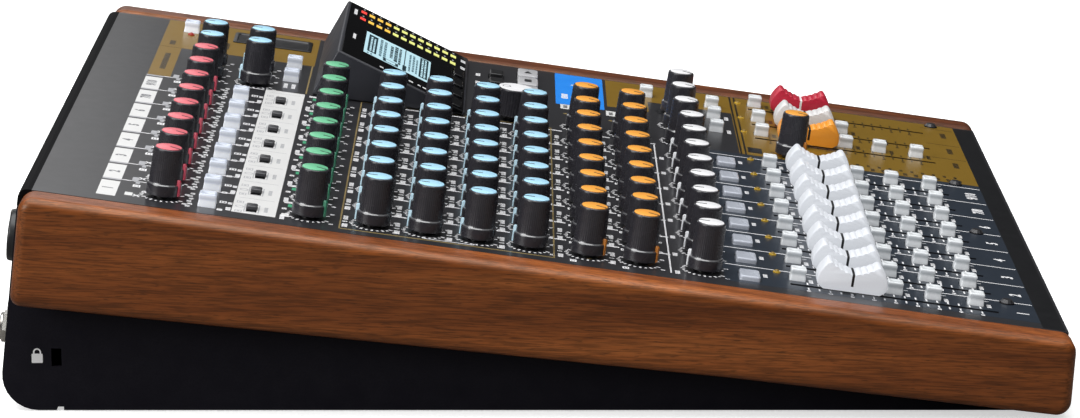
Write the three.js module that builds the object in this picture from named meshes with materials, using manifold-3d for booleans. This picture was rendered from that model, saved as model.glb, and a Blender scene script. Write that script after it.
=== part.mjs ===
// Compact mixing console in millimetres.
// X runs from the left cheek to the right one, the front faces -Y, Z is up.
// Controls stand on the sloping panel, whose own frame is (x, s, n): s up the slope, n out of the panel.
import * as THREE from "three";
import { mergeVertices } from "three/addons/utils/BufferGeometryUtils.js";
import Module from "manifold-3d";

const wasm = await Module();
wasm.setup();

// Width that the folded tray, the panel and all that they carry follow
const trayHalfWidth = 156.2;
const trayWall = 1.5;
const fromRight = (inset) => trayHalfWidth - inset;

// Panel and its slope
const panelTiltDegrees = 8.075;
const panelMiddleZ = 52.52;
const panelRear = 168.8;
const panelFront = 180.6;
const panelHalfWidth = trayHalfWidth;
const panelThickness = 1.5;
const panelBend = 2.8;
const panelLip = 6;
const seatGap = 0.25;

// Wooden cheeks
const cheekGap = 0.3;
const cheekInner = trayHalfWidth + cheekGap;
const cheekThickness = 15;
const cheekRearY = 168.4;
const cheekRearZ = 77.1;
const cheekHeelY = 172.6;
const cheekHeelZ = 39.9;
const cheekBendY = 61.9;
const cheekBendZ = 15.4;
const cheekToeY = 178.4;
const cheekToeZ = 1.6;
const cheekFrontY = 180.1;
const cheekFrontZ = 27.8;
const cheekCorner = 5;
const cheekSmallCorner = 3.6;
const cheekRound = 3;

// Folded tray and base plate
const trayRearTopY = 170.75;
const trayRearTopZ = 70.2;
const trayRearFootY = 178.65;
const trayFrontTopY = 178.6;
const trayFrontTopZ = 25.2;
const trayFrontFootY = 176.4;
const trayBottom = 0.3;
const trayRearRound = 12;
const trayFrontRound = 4;
const flangeZ = 1.8;
const flangeThickness = 1.5;
const plateThickness = 1.2;
const plateGap = 0.3;
const plateHalfWidth = trayHalfWidth - trayWall - plateGap;
const plateRear = 156.8;
const plateFront = 165.2;
const flangeLap = 8.4;
const openHalfWidth = plateHalfWidth - flangeLap;
const openRear = 150;
const openFront = 158;
const notchWidth = 2.4;
const notchHeight = 1.2;
const footRadius = 8;
const footHeight = 2.6;
const footInset = 18;
const footX = openHalfWidth - footInset;
const footRearY = 138;
const footFrontY = 144;
const lockY = 158.9;
const lockZ = 18.6;
const lockWidth = 3.4;
const lockHeight = 6.2;

// Channel strips
const channels = 8;
const firstInset = 15.85;
const lastInset = 124.84;
const firstChannel = firstInset - trayHalfWidth;
const channelPitch = (fromRight(lastInset) - firstChannel) / (channels - 1);
const faderShift = -1.6;
const assignShift = 6.45;
const lowCutShift = -3.6;

// Places up the slope
const gainS = 124.9;
const lowCutS = 109.8;
const modeS = 94.9;
const compS = 75.7;
const eqS = [54.1, 36.5, 18.8, 1];
const sendS = [-18.7, -36.4];
const panS = -58.2;
const panMasterS = -57;
const muteS = -73.6;
const assignS = [-90.3, -123.4, -136.6, -151.2];
const slotMiddleS = -123;
const slotLength = 71;
const slotWidth = 2.2;
const capRestS = -107.6;

// Master strips
const ninthInset = 99.5;
const ninthX = fromRight(ninthInset);
const tenthInset = 77;
const tenthX = fromRight(tenthInset);
const rearPairS = 124.5;
const secondPairS = 106.2;
const masterKnobInsets = [99.5, 72.6, 47.5];
const masterKnobX = masterKnobInsets.map(fromRight);
const orangeKnobInset = 97.2;
const orangeKnobX = fromRight(orangeKnobInset);
const orangeKnobS = -99.6;
const jogInset = 99.2;
const jogX = fromRight(jogInset);
const jogS = 7.7;
const jogRadius = 7;
const jogHeight = 12.6;
const jogShoulder = 11.8;
const jogChamfer = 0.8;
const fxFaderInset = 72.2;
const fxFaderX = fromRight(fxFaderInset);
const subFaderInset = 47.1;
const subFaderX = fromRight(subFaderInset);
const mainFaderInset = 18.9;
const mainFaderX = fromRight(mainFaderInset);
const assignMasterInsets = [64.2, 38.8, 11];
const assignMasterX = assignMasterInsets.map(fromRight);
const trioInsets = [68.2, 43.9, 24.2];
const trioX = trioInsets.map(fromRight);
const trioS = -72.3;
const singleInset = 20.2;
const singleX = fromRight(singleInset);
const singleS = -46;
const phantomInset = 18.2;
const phantomX = fromRight(phantomInset);
const phantomS = 136.5;
const pairButtonInsets = [84.2, 59.2];
const pairButtonX = pairButtonInsets.map(fromRight);
const pairButtonS = 93.2;
const menuKeyInsets = [24.6, 39.7, 66.2];
const menuKeyX = menuKeyInsets.map(fromRight);
const menuKeyS = 14.2;
const transportInsets = [17.6, 33.8, 50];
const transportX = transportInsets.map(fromRight);
const transportS = 1.6;

// Knobs
const knobTop = 17.4;
const knobBody = 4.95;
const knobSkirt = 5.95;
const knobCap = 4.2;
const knobFoot = 1.9;
const knobSkirtTop = 4.1;
const knobRingTop = 4.9;
const knobRing = 5.55;
const knobShoulder = 16.8;
const ribHalf = 0.55;
const ribInner = 4.7;
const ribOuter = 6.2;
const ribFoot = 2.1;
const ribTop = 6.3;
const leftStop = 150;
const shaftRadius = 3;
const shaftHole = 3.35;
const shaftEnd = -3.75;
const potTop = -4;
const potHalf = 4.75;
const boardTop = -11;
const boardBottom = -12.6;
const boardGap = 6.2;
const boardHalf = trayHalfWidth - boardGap;
const inputBoardFront = 66;
const inputBoardRear = 142;
const eqBoardFront = -8;
const eqBoardRear = 62;
const sendBoardFront = -65;
const sendBoardRear = -10;
const faderBoardFront = -163;
const faderBoardRear = -67;
const postOffset = 9.5;

// Buttons and their guides
const capHalf = 2.7;
const paleCapHalf = 3;
const capTop = 4.2;
const lowCutTop = 3.4;
const capFoot = -2.6;
const capClearance = 0.3;
const stemHalf = 1.1;
const muteHalfX = 5.2;
const muteHalfS = 3.5;
const muteTop = 1.6;
const menuHalfX = 4.2;
const menuHalfS = 2.8;
const transportHalfX = 6.6;
const transportHalfS = 4;
const keyTop = 2.2;
const stemEnd = -6.2;
const guideTop = -4.6;
const guideHalf = 2.6;
const guideBore = 1.4;
const guideFloor = -7.6;

// Mode switch
const modeSlotX = 4.7;
const modeSlotS = 1.8;
const modeNubX = 1.9;
const modeNubS = 1.5;
const modeTop = 2.4;
const modeEnd = -3.6;
const modeBodyX = 6.4;
const modeBodyS = 3.4;
const modeBodyTop = -1.9;
const modeBodyFloor = -4.2;

// Faders
const faderHalfWidth = 4.9;
const faderBaseHalf = 9.8;
const faderBaseHeight = 1.2;
const faderHemHalf = 11.6;
const faderHemHeight = 2.6;
const faderFlareHalf = 11.8;
const faderFlareHeight = 5.2;
const faderShoulderHalf = 10.7;
const faderShoulderHeight = 8.4;
const faderPeakHalf = 8.5;
const faderPeakHeight = 11;
const faderDipHalf = 1.2;
const faderDipHeight = 7.4;
const faderLobes = 4;
const faderLobeHeight = 0.45;
const leverHalfX = 0.7;
const leverHalfS = 2.4;
const leverEnd = -5.6;
const railTop = -2.6;
const railFloor = -6.2;
const railHalfX = 4.1;
const railHalfS = 39;
const railBoreX = 1.2;
const railBoreS = 35;
const faderBoardTop = -8.6;
const faderBoardBottom = -10.2;
const postHalf = 2;

// Display hood
const hoodNearInset = 106.6;
const hoodNear = fromRight(hoodNearInset);
const hoodFarInset = 5.2;
const hoodFar = fromRight(hoodFarInset);
const hoodRearS = 84.1;
const hoodTopS = 76.5;
const hoodTopHeight = 18.9;
const hoodFrontS = 25.7;
const hoodFrontHeight = 1.8;
const hoodFoot = 0.25;
const hoodEdge = 1.3;
const windowInset = 1.1;
const windowFromTop = 1.5;
const windowToFront = 46.2;
const windowDepth = 1.2;
const windowRecess = 0.15;
const softKeyInsets = [99.4, 80.8, 62.1, 43.4];
const softKeyX = softKeyInsets.map(fromRight);
const softKeyFromTop = 49.6;
const softKeyHalfX = 5.4;
const softKeyHalfT = 2.1;
const softKeyRise = 0.7;
const softKeyFoot = -1.4;
const softKeyPocket = -2.4;

// Card slot
const cardInset = 18.6;
const cardX = fromRight(cardInset);
const cardS = 103.8;
const cardHalfX = 9.6;
const cardHalfS = 15.6;
const cardRimTop = 0.5;
const cardSlotHalfX = 2.6;
const cardSlotHalfS = 12.6;
const cardDepth = 8;
const cardWall = 1.6;

// Rear sockets, in the rear wall's own frame: up the wall and out of it
const micUp = -13.6;
const micRadius = 8.8;
const micRecess = 7.2;
const micRecessDepth = 2;
const micOut = 3.8;
const micHole = 9.1;
const jackUp = -45.5;
const jackNut = 5.6;
const jackBarrel = 4.8;
const jackBody = 6.5;
const jackOut = 3.6;
const plugBore = 3.6;
const plugDepth = 18;
const socketBack = -22;
const boardThickness = 1.6;
const socketBoardTop = -5;
const socketBoardLow = -62;
const socketBoardHalf = boardHalf;
const outletInsets = [104.2, 82.2, 60.2, 38.2];
const outletX = outletInsets.map(fromRight);
const inletInset = 16.2;
const inletX = fromRight(inletInset);
const inletUp = -45.5;
const inletHalf = 5;
const inletBore = 2.8;
const inletDepth = 9;
const inletOut = 0.8;
const hostInset = 84.2;
const hostX = fromRight(hostInset);
const hostUp = -13.6;
const hostHalfX = 6;
const hostHalfUp = 3;
const hostSlotX = 4.6;
const hostSlotUp = 1.6;
const hostDepth = 7;
const powerInset = 16.2;
const powerX = fromRight(powerInset);
const powerUp = -14;
const powerHalf = 4;
const powerOut = 2.6;
const powerEnd = -9;
const powerGuide = 6;
const powerGuideTop = -3;
const powerFloor = -12;
const wallGap = 0.3;

// Screws
const screwRadius = 2.7;
const screwRise = 1.4;
const screwTopRadius = 1.6;
const masterScrewInsets = [105.6, 3.8];
const screwS = -162.8;

// Round counts and share tables
const roundSides = 16;
const socketSides = 8;
const knobSides = 12;
const fixedKnobSides = 8;
const shaftSides = 10;
const fixedShaftSides = 5;
const cornerSteps = 4;
const traySteps = 8;
const saddleCurveShare = 1.5;
const postShares = [0.55, 3.55, 7.55];
const screwShares = [0.544, 4.62];

const radians = (degrees) => (degrees * Math.PI) / 180;
const tilt = radians(panelTiltDegrees);

// A three.js geometry as a manifold solid.
function solid(geometry, matrix) {
  const bare = geometry.index ? geometry.toNonIndexed() : geometry.clone();
  if (matrix) bare.applyMatrix4(matrix);
  bare.deleteAttribute("normal");
  bare.deleteAttribute("uv");
  const merged = mergeVertices(bare, 1e-4);
  return new wasm.Manifold(
    new wasm.Mesh({
      numProp: 3,
      vertProperties: new Float32Array(merged.attributes.position.array),
      triVerts: new Uint32Array(merged.index.array),
    }),
  );
}

// A box between two corners.
function block(x0, x1, y0, y1, z0, z1, matrix) {
  const geometry = new THREE.BoxGeometry(x1 - x0, y1 - y0, z1 - z0);
  geometry.translate((x0 + x1) / 2, (y0 + y1) / 2, (z0 + z1) / 2);
  return solid(geometry, matrix);
}

// A box about a point of the panel.
function tablet(x, s, halfX, halfS, low, high, matrix) {
  return block(x - halfX, x + halfX, s - halfS, s + halfS, low, high, matrix);
}

// A body turned about the panel's normal at (x, s), from a profile of [radius, n].
function turned(x, s, profile, sides, matrix) {
  const geometry = new THREE.LatheGeometry(
    profile.map(([radius, height]) => new THREE.Vector2(radius, height)),
    sides,
  );
  geometry.rotateX(Math.PI / 2);
  geometry.translate(x, s, 0);
  return solid(geometry, matrix);
}

// A plain cylinder along the panel's normal.
function drum(x, s, radius, low, high, sides, matrix) {
  return turned(
    x,
    s,
    [
      [0, low],
      [radius, low],
      [radius, high],
      [0, high],
    ],
    sides,
    matrix,
  );
}

// A side profile of [y, z] drawn out along X.
function sideProfile(points, x0, x1) {
  const shape = new THREE.Shape(points.map(([y, z]) => new THREE.Vector2(y, z)));
  const geometry = new THREE.ExtrudeGeometry(shape, { depth: x1 - x0, bevelEnabled: false });
  geometry.rotateY(Math.PI / 2);
  geometry.rotateX(Math.PI / 2);
  geometry.translate(x0, 0, 0);
  return solid(geometry);
}

// Rounds the corners of a profile, each by its own radius, with a few steps.
function rounded(points, steps) {
  const out = [];
  points.forEach(([y, z, radius], i) => {
    if (!radius) {
      out.push([y, z]);
      return;
    }
    const before = points[(i + points.length - 1) % points.length];
    const after = points[(i + 1) % points.length];
    const here = new THREE.Vector2(y, z);
    const back = new THREE.Vector2(before[0], before[1]).sub(here).normalize();
    const forth = new THREE.Vector2(after[0], after[1]).sub(here).normalize();
    const half = Math.acos(back.dot(forth)) / 2;
    const reach = radius / Math.tan(half);
    const centre = here
      .clone()
      .add(back.clone().add(forth).normalize().multiplyScalar(radius / Math.sin(half)));
    const from = here.clone().add(back.multiplyScalar(reach)).sub(centre);
    const to = here.clone().add(forth.multiplyScalar(reach)).sub(centre);
    const turn = Math.atan2(from.cross(to), from.dot(to));
    for (let k = 0; k <= steps; k += 1) {
      const at = from.clone().rotateAround(new THREE.Vector2(0, 0), (turn * k) / steps);
      out.push([centre.x + at.x, centre.y + at.y]);
    }
  });
  return out;
}

// Joins a list of solids.
function joined(list) {
  let whole = list[0];
  list.slice(1).forEach((one) => {
    whole = whole.add(one);
  });
  return whole;
}

// Cuts a list of solids, joined first, out of one.
function cutBy(whole, list) {
  return whole.subtract(joined(list));
}

const console_ = new THREE.Group();
console_.name = "mixing_console";
const slope = new THREE.Group();
slope.name = "panel_frame";
slope.rotation.x = tilt;
slope.position.z = panelMiddleZ;
console_.add(slope);

const paints = {
  blackSteel: [0x14151a, 0.5, 0.6],
  panelPaint: [0x3c3d40, 0.45, 0.5],
  wood: [0x8a4f2a, 0.45, 0],
  rubber: [0x151515, 0.9, 0],
  knob: [0x1c1d20, 0.4, 0],
  hood: [0x232428, 0.5, 0],
  glass: [0x050507, 0.08, 0],
  board: [0x1e4a30, 0.6, 0],
  clear: [0xd9dde2, 0.25, 0],
  white: [0xeceef0, 0.35, 0],
  black: [0x111113, 0.4, 0],
  orange: [0xe0871c, 0.35, 0],
  grey: [0xc9ccd0, 0.35, 0],
  red: [0xc0273a, 0.35, 0],
  silver: [0xb9bcc2, 0.3, 0.9],
};

// Adds a named piece to the whole or to the panel's frame.
function piece(name, body, paint, parent = slope) {
  const data = body.getMesh();
  const geometry = new THREE.BufferGeometry();
  const positions = new Float32Array(data.numVert * 3);
  for (let i = 0; i < data.numVert; i += 1)
    positions.set(data.vertProperties.subarray(i * data.numProp, i * data.numProp + 3), i * 3);
  geometry.setAttribute("position", new THREE.BufferAttribute(positions, 3));
  geometry.setIndex(new THREE.BufferAttribute(new Uint32Array(data.triVerts), 1));
  geometry.computeVertexNormals();
  const [color, roughness, metalness] = paints[paint];
  const made = new THREE.Mesh(
    geometry,
    new THREE.MeshStandardMaterial({ color, roughness, metalness, flatShading: true }),
  );
  made.name = name;
  parent.add(made);
}

const channelX = (i) => firstChannel + i * channelPitch;
const boardCore = (boardTop + boardBottom) / 2;
const faderBoardCore = (faderBoardTop + faderBoardBottom) / 2;
const socketBoardCore = socketBack - boardThickness / 2;
const every = Array.from({ length: channels }, (_, i) => i);
const fixed = every.slice(1);

// Pointer rib on a knob's skirt, turned by a number of degrees from straight up the slope.
function pointerRib(x, s, turn) {
  const place = new THREE.Matrix4()
    .makeTranslation(x, s, 0)
    .multiply(new THREE.Matrix4().makeRotationZ(radians(turn)));
  return block(-ribHalf, ribHalf, ribInner, ribOuter, ribFoot, ribTop, place);
}

// Knob: skirt, ring groove, tapered body, cap and pointer rib, on its own shaft.
function knob(x, s, end, turn) {
  return turned(
    x,
    s,
    [
      [0, knobFoot],
      [knobSkirt, knobFoot],
      [knobSkirt, knobSkirtTop],
      [knobRing, knobRingTop],
      [knobBody, knobShoulder],
      [knobCap, knobTop],
      [0, knobTop],
    ],
    knobSides,
  )
    .add(drum(x, s, shaftRadius, end, (knobFoot + knobSkirtTop) / 2, shaftSides))
    .add(pointerRib(x, s, turn));
}

// The same knob, plainer, on a shaft that stays with its potentiometer.
function fixedKnob(x, s, turn) {
  return turned(
    x,
    s,
    [
      [0, knobFoot],
      [knobSkirt, knobFoot],
      [knobSkirt, knobSkirtTop],
      [knobBody, knobShoulder],
      [knobCap, knobTop],
      [0, knobTop],
    ],
    fixedKnobSides,
  )
    .add(drum(x, s, shaftRadius, boardCore, (knobFoot + knobSkirtTop) / 2, fixedShaftSides))
    .add(pointerRib(x, s, turn));
}

// Potentiometer body on a board.
const pot = (x, s, low) => tablet(x, s, potHalf, potHalf, low, potTop);

// Button cap with its stem.
function button(x, s, halfX, halfS, top, end) {
  return tablet(x, s, halfX, halfS, capFoot, top).add(
    tablet(x, s, stemHalf, stemHalf, end, (capFoot + top) / 2),
  );
}

// Switch body that guides a stem.
function guide(x, s, low) {
  return tablet(x, s, guideHalf, guideHalf, low, guideTop).subtract(
    tablet(x, s, guideBore, guideBore, guideFloor, 0),
  );
}

// Slide switch body under the panel, open for its nub.
function modeBody(x) {
  return tablet(x, modeS, modeBodyX, modeBodyS, boardCore, modeBodyTop).subtract(
    tablet(x, modeS, modeSlotX, modeSlotS, modeBodyFloor, 0),
  );
}

const modeNub = (x, end) => tablet(x, modeS, modeNubX, modeNubS, end, modeTop);

// Fader cap with its lever: a saddle between two horns, each slope of it a row of soft lobes.
function faderCap(x, s) {
  const half = [
    [faderBaseHalf, faderBaseHeight],
    [faderHemHalf, faderHemHeight],
    [faderFlareHalf, faderFlareHeight],
    [faderShoulderHalf, faderShoulderHeight],
    [faderPeakHalf, faderPeakHeight],
  ];
  const steps = faderLobes * 2;
  for (let k = steps - 1; k >= 0; k -= 1) {
    const share = k / steps;
    const level = faderDipHeight + (faderPeakHeight - faderDipHeight) * share ** saddleCurveShare;
    const crest = k % 2 ? faderLobeHeight : 0;
    half.push([faderDipHalf + (faderPeakHalf - faderDipHalf) * share, level + crest]);
  }
  const mirror = half.map(([a, b]) => [-a, b]).reverse();
  const outline = half.concat(mirror).map(([a, b]) => [s + a, b]);
  return sideProfile(outline, x - faderHalfWidth, x + faderHalfWidth).add(
    tablet(x, s, leverHalfX, leverHalfS, leverEnd, (faderBaseHeight + faderHemHeight) / 2),
  );
}

// Slide potentiometer body with its open slot.
function slideRail(x) {
  return tablet(x, slotMiddleS, railHalfX, railHalfS, faderBoardCore, railTop).subtract(
    tablet(x, slotMiddleS, railBoreX, railBoreS, railFloor, 0),
  );
}

// Where each control sits
const columns = [gainS, compS, ...eqS, ...sendS, panS];
const restsLeft = (s) => s === gainS || s === compS || sendS.includes(s) || s === panMasterS;
const restTurn = (s) => (restsLeft(s) ? leftStop : 0);
const faderX = every.map((i) => channelX(i) + faderShift).concat([fxFaderX, subFaderX, mainFaderX]);
const masterKnobs = [
  ["monitor_knob_1", ninthX, rearPairS],
  ["monitor_knob_2", tenthX, rearPairS],
  ["monitor_knob_3", ninthX, secondPairS],
  ["monitor_knob_4", tenthX, secondPairS],
  ["effect_send_knob_1", ninthX, sendS[0]],
  ["effect_send_knob_2", ninthX, sendS[1]],
  ...masterKnobX.map((x, i) => ["level_knob_" + (i + 1), x, panMasterS]),
];
const masterAssign = [
  ...assignS.map((s) => [assignMasterX[0], s]),
  ...assignS.slice(0, 2).map((s) => [assignMasterX[1], s]),
  [assignMasterX[2], assignS[0]],
];
const squareButtons = [
  ...fixed.flatMap((i) => assignS.map((s) => [channelX(i) + assignShift, s])),
  ...masterAssign,
  ...trioX.map((x) => [x, trioS]),
];

// Top panel: bent at the rear, cut for every control, with its round screw heads.
const bentSheet = sideProfile(
  rounded(
    [
      [-panelFront, -panelThickness],
      [panelRear + panelBend - panelThickness, -panelThickness, panelBend - panelThickness],
      [panelRear + panelBend - panelThickness, -panelLip],
      [panelRear + panelBend, -panelLip],
      [panelRear + panelBend, 0, panelBend],
      [-panelFront, 0],
    ],
    cornerSteps,
  ),
  -panelHalfWidth,
  panelHalfWidth,
);
const through = (x, s, halfX, halfS) => tablet(x, s, halfX, halfS, -panelLip, panelThickness);
const capHole = (x, s, halfX, halfS) => through(x, s, halfX + capClearance, halfS + capClearance);
const shaftCut = (x, s, sides) => drum(x, s, shaftHole, -panelLip, panelThickness, sides);
const panelCuts = [
  ...columns.map((s) => shaftCut(channelX(0), s, shaftSides)),
  ...columns.flatMap((s) => fixed.map((i) => shaftCut(channelX(i), s, fixedShaftSides))),
  ...masterKnobs.map(([, x, s]) => shaftCut(x, s, shaftSides)),
  shaftCut(orangeKnobX, orangeKnobS, shaftSides),
  shaftCut(jogX, jogS, shaftSides),
  ...every.map((i) => capHole(channelX(i) + lowCutShift, lowCutS, paleCapHalf, paleCapHalf)),
  ...every.map((i) => through(channelX(i), modeS, modeSlotX, modeSlotS)),
  ...every.map((i) => capHole(channelX(i), muteS, muteHalfX, muteHalfS)),
  ...assignS.map((s) => capHole(channelX(0) + assignShift, s, capHalf, capHalf)),
  ...squareButtons.map(([x, s]) => capHole(x, s, capHalf, capHalf)),
  capHole(singleX, singleS, capHalf, capHalf),
  capHole(phantomX, phantomS, paleCapHalf, paleCapHalf),
  ...pairButtonX.map((x) => capHole(x, pairButtonS, paleCapHalf, paleCapHalf)),
  ...menuKeyX.map((x) => capHole(x, menuKeyS, menuHalfX, menuHalfS)),
  ...transportX.map((x) => capHole(x, transportS, transportHalfX, transportHalfS)),
  ...faderX.map((x) => through(x, slotMiddleS, slotWidth / 2, slotLength / 2)),
  through(cardX, cardS, cardHalfX - cardWall + seatGap, cardHalfS - cardWall + seatGap),
];
const screwX = [...screwShares.map(channelX), ...masterScrewInsets.map(fromRight)];
const screws = screwX.map((x) =>
  turned(
    x,
    screwS,
    [
      [0, -panelThickness / 2],
      [screwRadius, -panelThickness / 2],
      [screwRadius, 0],
      [screwTopRadius, screwRise],
      [0, screwRise],
    ],
    knobSides,
  ),
);
piece("top_panel", joined([cutBy(bentSheet, panelCuts), ...screws]), "panelPaint");

// Boards under the panel, each with its posts, potentiometers and switches
function board(x0, x1, s0, s1, low, top, posts) {
  const sheet = block(x0, x1, s0, s1, low, top);
  const pillars = posts.map(([x, s]) =>
    tablet(x, s, postHalf, postHalf, (low + top) / 2, -panelThickness - seatGap),
  );
  return joined([sheet, ...pillars]);
}

const postX = postShares.map(channelX);
const boardPosts = (s0, s1) => postX.flatMap((x) => [s0, s1].map((s) => [x, s]));
const heldKnobs = (rows) =>
  fixed.flatMap((i) =>
    rows.flatMap((s) => [fixedKnob(channelX(i), s, restTurn(s)), pot(channelX(i), s, boardCore)]),
  );
const freePots = (rows) => rows.map((s) => pot(channelX(0), s, boardCore));
const masterPots = (first, last) => masterKnobs.slice(first, last).map(([, x, s]) => pot(x, s, boardCore));

piece(
  "input_board",
  joined([
    board(-boardHalf, boardHalf, inputBoardFront, inputBoardRear, boardBottom, boardTop, [
      ...boardPosts(compS + postOffset, gainS + postOffset),
      [boardHalf - postOffset, phantomS - postOffset],
    ]),
    ...heldKnobs([gainS, compS]),
    ...freePots([gainS, compS]),
    ...masterPots(0, 4),
    guide(channelX(0) + lowCutShift, lowCutS, boardCore),
    modeBody(channelX(0)),
    ...fixed.map((i) =>
      button(channelX(i) + lowCutShift, lowCutS, paleCapHalf, paleCapHalf, lowCutTop, boardCore),
    ),
    ...fixed.map((i) => modeBody(channelX(i)).add(modeNub(channelX(i), boardCore))),
    ...pairButtonX.map((x) => button(x, pairButtonS, paleCapHalf, paleCapHalf, lowCutTop, boardCore)),
    guide(phantomX, phantomS, boardCore),
  ]),
  "board",
);
piece(
  "equaliser_board",
  joined([
    board(-boardHalf, boardHalf, eqBoardFront, eqBoardRear, boardBottom, boardTop, [
      ...boardPosts(eqS[3] + postOffset, eqS[0] - postOffset),
      [boardHalf - postOffset, eqBoardRear - postOffset],
    ]),
    ...heldKnobs(eqS),
    ...freePots(eqS),
    pot(jogX, jogS, boardCore),
    ...menuKeyX.slice(1).map((x) => button(x, menuKeyS, menuHalfX, menuHalfS, keyTop, boardCore)),
    guide(menuKeyX[0], menuKeyS, boardCore),
    ...transportX
      .slice(1)
      .map((x) => button(x, transportS, transportHalfX, transportHalfS, keyTop, boardCore)),
    guide(transportX[0], transportS, boardCore),
  ]),
  "board",
);
piece(
  "send_board",
  joined([
    board(-boardHalf, boardHalf, sendBoardFront, sendBoardRear, boardBottom, boardTop, [
      ...boardPosts(panS + postOffset, sendS[0] - postOffset),
      [boardHalf - postOffset, sendBoardRear - postOffset],
    ]),
    ...heldKnobs([...sendS, panS]),
    ...freePots([...sendS, panS]),
    ...masterPots(4, 9),
    button(singleX, singleS, capHalf, capHalf, capTop, boardCore),
  ]),
  "board",
);
piece(
  "fader_board",
  joined([
    board(-boardHalf, boardHalf, faderBoardFront, faderBoardRear, faderBoardBottom, faderBoardTop, [
      ...boardPosts(assignS[0] + postOffset, assignS[3] - postOffset),
      [boardHalf - postOffset, trioS],
    ]),
    ...faderX.map((x) => slideRail(x)),
    pot(orangeKnobX, orangeKnobS, faderBoardCore),
    guide(channelX(0), muteS, faderBoardCore),
    ...assignS.map((s) => guide(channelX(0) + assignShift, s, faderBoardCore)),
    ...fixed.map((i) =>
      button(channelX(i), muteS, muteHalfX, muteHalfS, muteTop, faderBoardCore),
    ),
    ...squareButtons.map(([x, s]) => button(x, s, capHalf, capHalf, capTop, faderBoardCore)),
  ]),
  "board",
);

// Turning knobs
const channelKnobs = ["gain", "compressor", "treble", "upper_mid", "lower_mid", "bass"].concat([
  "send_1",
  "send_2",
  "pan",
]);
columns.forEach((s, i) => {
  piece(channelKnobs[i] + "_knob", knob(channelX(0), s, shaftEnd, restTurn(s)), "knob");
});
masterKnobs.forEach(([name, x, s]) => piece(name, knob(x, s, shaftEnd, restTurn(s)), "knob"));
piece("phones_knob", knob(orangeKnobX, orangeKnobS, shaftEnd, leftStop), "knob");
piece(
  "jog_dial",
  turned(
    jogX,
    jogS,
    [
      [0, knobFoot],
      [jogRadius, knobFoot],
      [jogRadius, jogShoulder],
      [jogRadius - jogChamfer, jogHeight],
      [0, jogHeight],
    ],
    roundSides,
  ).add(drum(jogX, jogS, shaftRadius, shaftEnd, (knobFoot + jogShoulder) / 2, shaftSides)),
  "knob",
);

// Sliding buttons and switches
const lowCut = button(channelX(0) + lowCutShift, lowCutS, paleCapHalf, paleCapHalf, lowCutTop, stemEnd);
piece("low_cut_button", lowCut, "white");
piece("mode_switch", modeNub(channelX(0), modeEnd), "black");
piece("mute_button", button(channelX(0), muteS, muteHalfX, muteHalfS, muteTop, stemEnd), "clear");
assignS.forEach((s, i) => {
  const made = button(channelX(0) + assignShift, s, capHalf, capHalf, capTop, stemEnd);
  piece("assign_button_" + (i + 1), made, "clear");
});
const phantom = button(phantomX, phantomS, paleCapHalf, paleCapHalf, lowCutTop, stemEnd);
piece("phantom_button", phantom, "white");
const menu = button(menuKeyX[0], menuKeyS, menuHalfX, menuHalfS, keyTop, stemEnd);
piece("menu_key", menu, "black");
const play = button(transportX[0], transportS, transportHalfX, transportHalfS, keyTop, stemEnd);
piece("play_key", play, "silver");

// Faders
const masterFaders = [
  ["effect_fader", "orange"],
  ["group_fader", "grey"],
  ["main_fader", "red"],
];
faderX.forEach((x, i) => {
  const [name, paint] = masterFaders[i - channels] || ["channel_fader_" + (i + 1), "white"];
  piece(name, faderCap(x, capRestS), paint);
});

// Display hood with its window and soft keys, worked out along its sloping face
const faceLength = Math.hypot(hoodTopS - hoodFrontS, hoodTopHeight - hoodFrontHeight);
const faceAlong = [(hoodFrontS - hoodTopS) / faceLength, (hoodFrontHeight - hoodTopHeight) / faceLength];
const faceOut = [faceAlong[1], -faceAlong[0]];
const onFace = (t, out) => [
  hoodTopS + faceAlong[0] * t + faceOut[0] * out,
  hoodTopHeight + faceAlong[1] * t + faceOut[1] * out,
];
const slab = (x0, x1, t0, t1, low, high) =>
  sideProfile([onFace(t0, low), onFace(t1, low), onFace(t1, high), onFace(t0, high)], x0, x1);
const hoodBlock = sideProfile(
  rounded(
    [
      [hoodFrontS, hoodFoot],
      [hoodRearS, hoodFoot],
      [hoodTopS, hoodTopHeight, hoodEdge],
      [hoodFrontS, hoodFrontHeight],
    ],
    cornerSteps,
  ),
  hoodNear,
  hoodFar,
);
const windowNear = hoodNear + windowInset;
const windowFar = hoodFar - windowInset;
const windowPocket = slab(
  windowNear - windowRecess,
  windowFar + windowRecess,
  windowFromTop - windowRecess,
  windowToFront + windowRecess,
  -windowDepth - seatGap,
  hoodTopHeight,
);
const softKey = (x, foot) =>
  slab(
    x - softKeyHalfX,
    x + softKeyHalfX,
    softKeyFromTop - softKeyHalfT,
    softKeyFromTop + softKeyHalfT,
    foot,
    softKeyRise,
  );
const softKeyPocketCut = slab(
  softKeyX[0] - softKeyHalfX - capClearance,
  softKeyX[0] + softKeyHalfX + capClearance,
  softKeyFromTop - softKeyHalfT - capClearance,
  softKeyFromTop + softKeyHalfT + capClearance,
  -hoodTopHeight,
  hoodTopHeight,
);
piece(
  "display_hood",
  joined([
    cutBy(hoodBlock, [windowPocket, softKeyPocketCut]),
    ...softKeyX.slice(1).map((x) => softKey(x, softKeyPocket)),
  ]),
  "hood",
);
piece("soft_key", softKey(softKeyX[0], softKeyFoot), "black");
piece("display_window", slab(windowNear, windowFar, windowFromTop, windowToFront, -windowDepth, 0), "glass");

// Card slot, let into the panel
const cardWell = joined([
  tablet(cardX, cardS, cardHalfX, cardHalfS, seatGap, cardRimTop),
  tablet(cardX, cardS, cardHalfX - cardWall, cardHalfS - cardWall, -cardDepth - cardWall / 2, cardRimTop),
]);
piece(
  "card_slot",
  cardWell.subtract(tablet(cardX, cardS, cardSlotHalfX, cardSlotHalfS, -cardDepth, panelLip)),
  "black",
);

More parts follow.
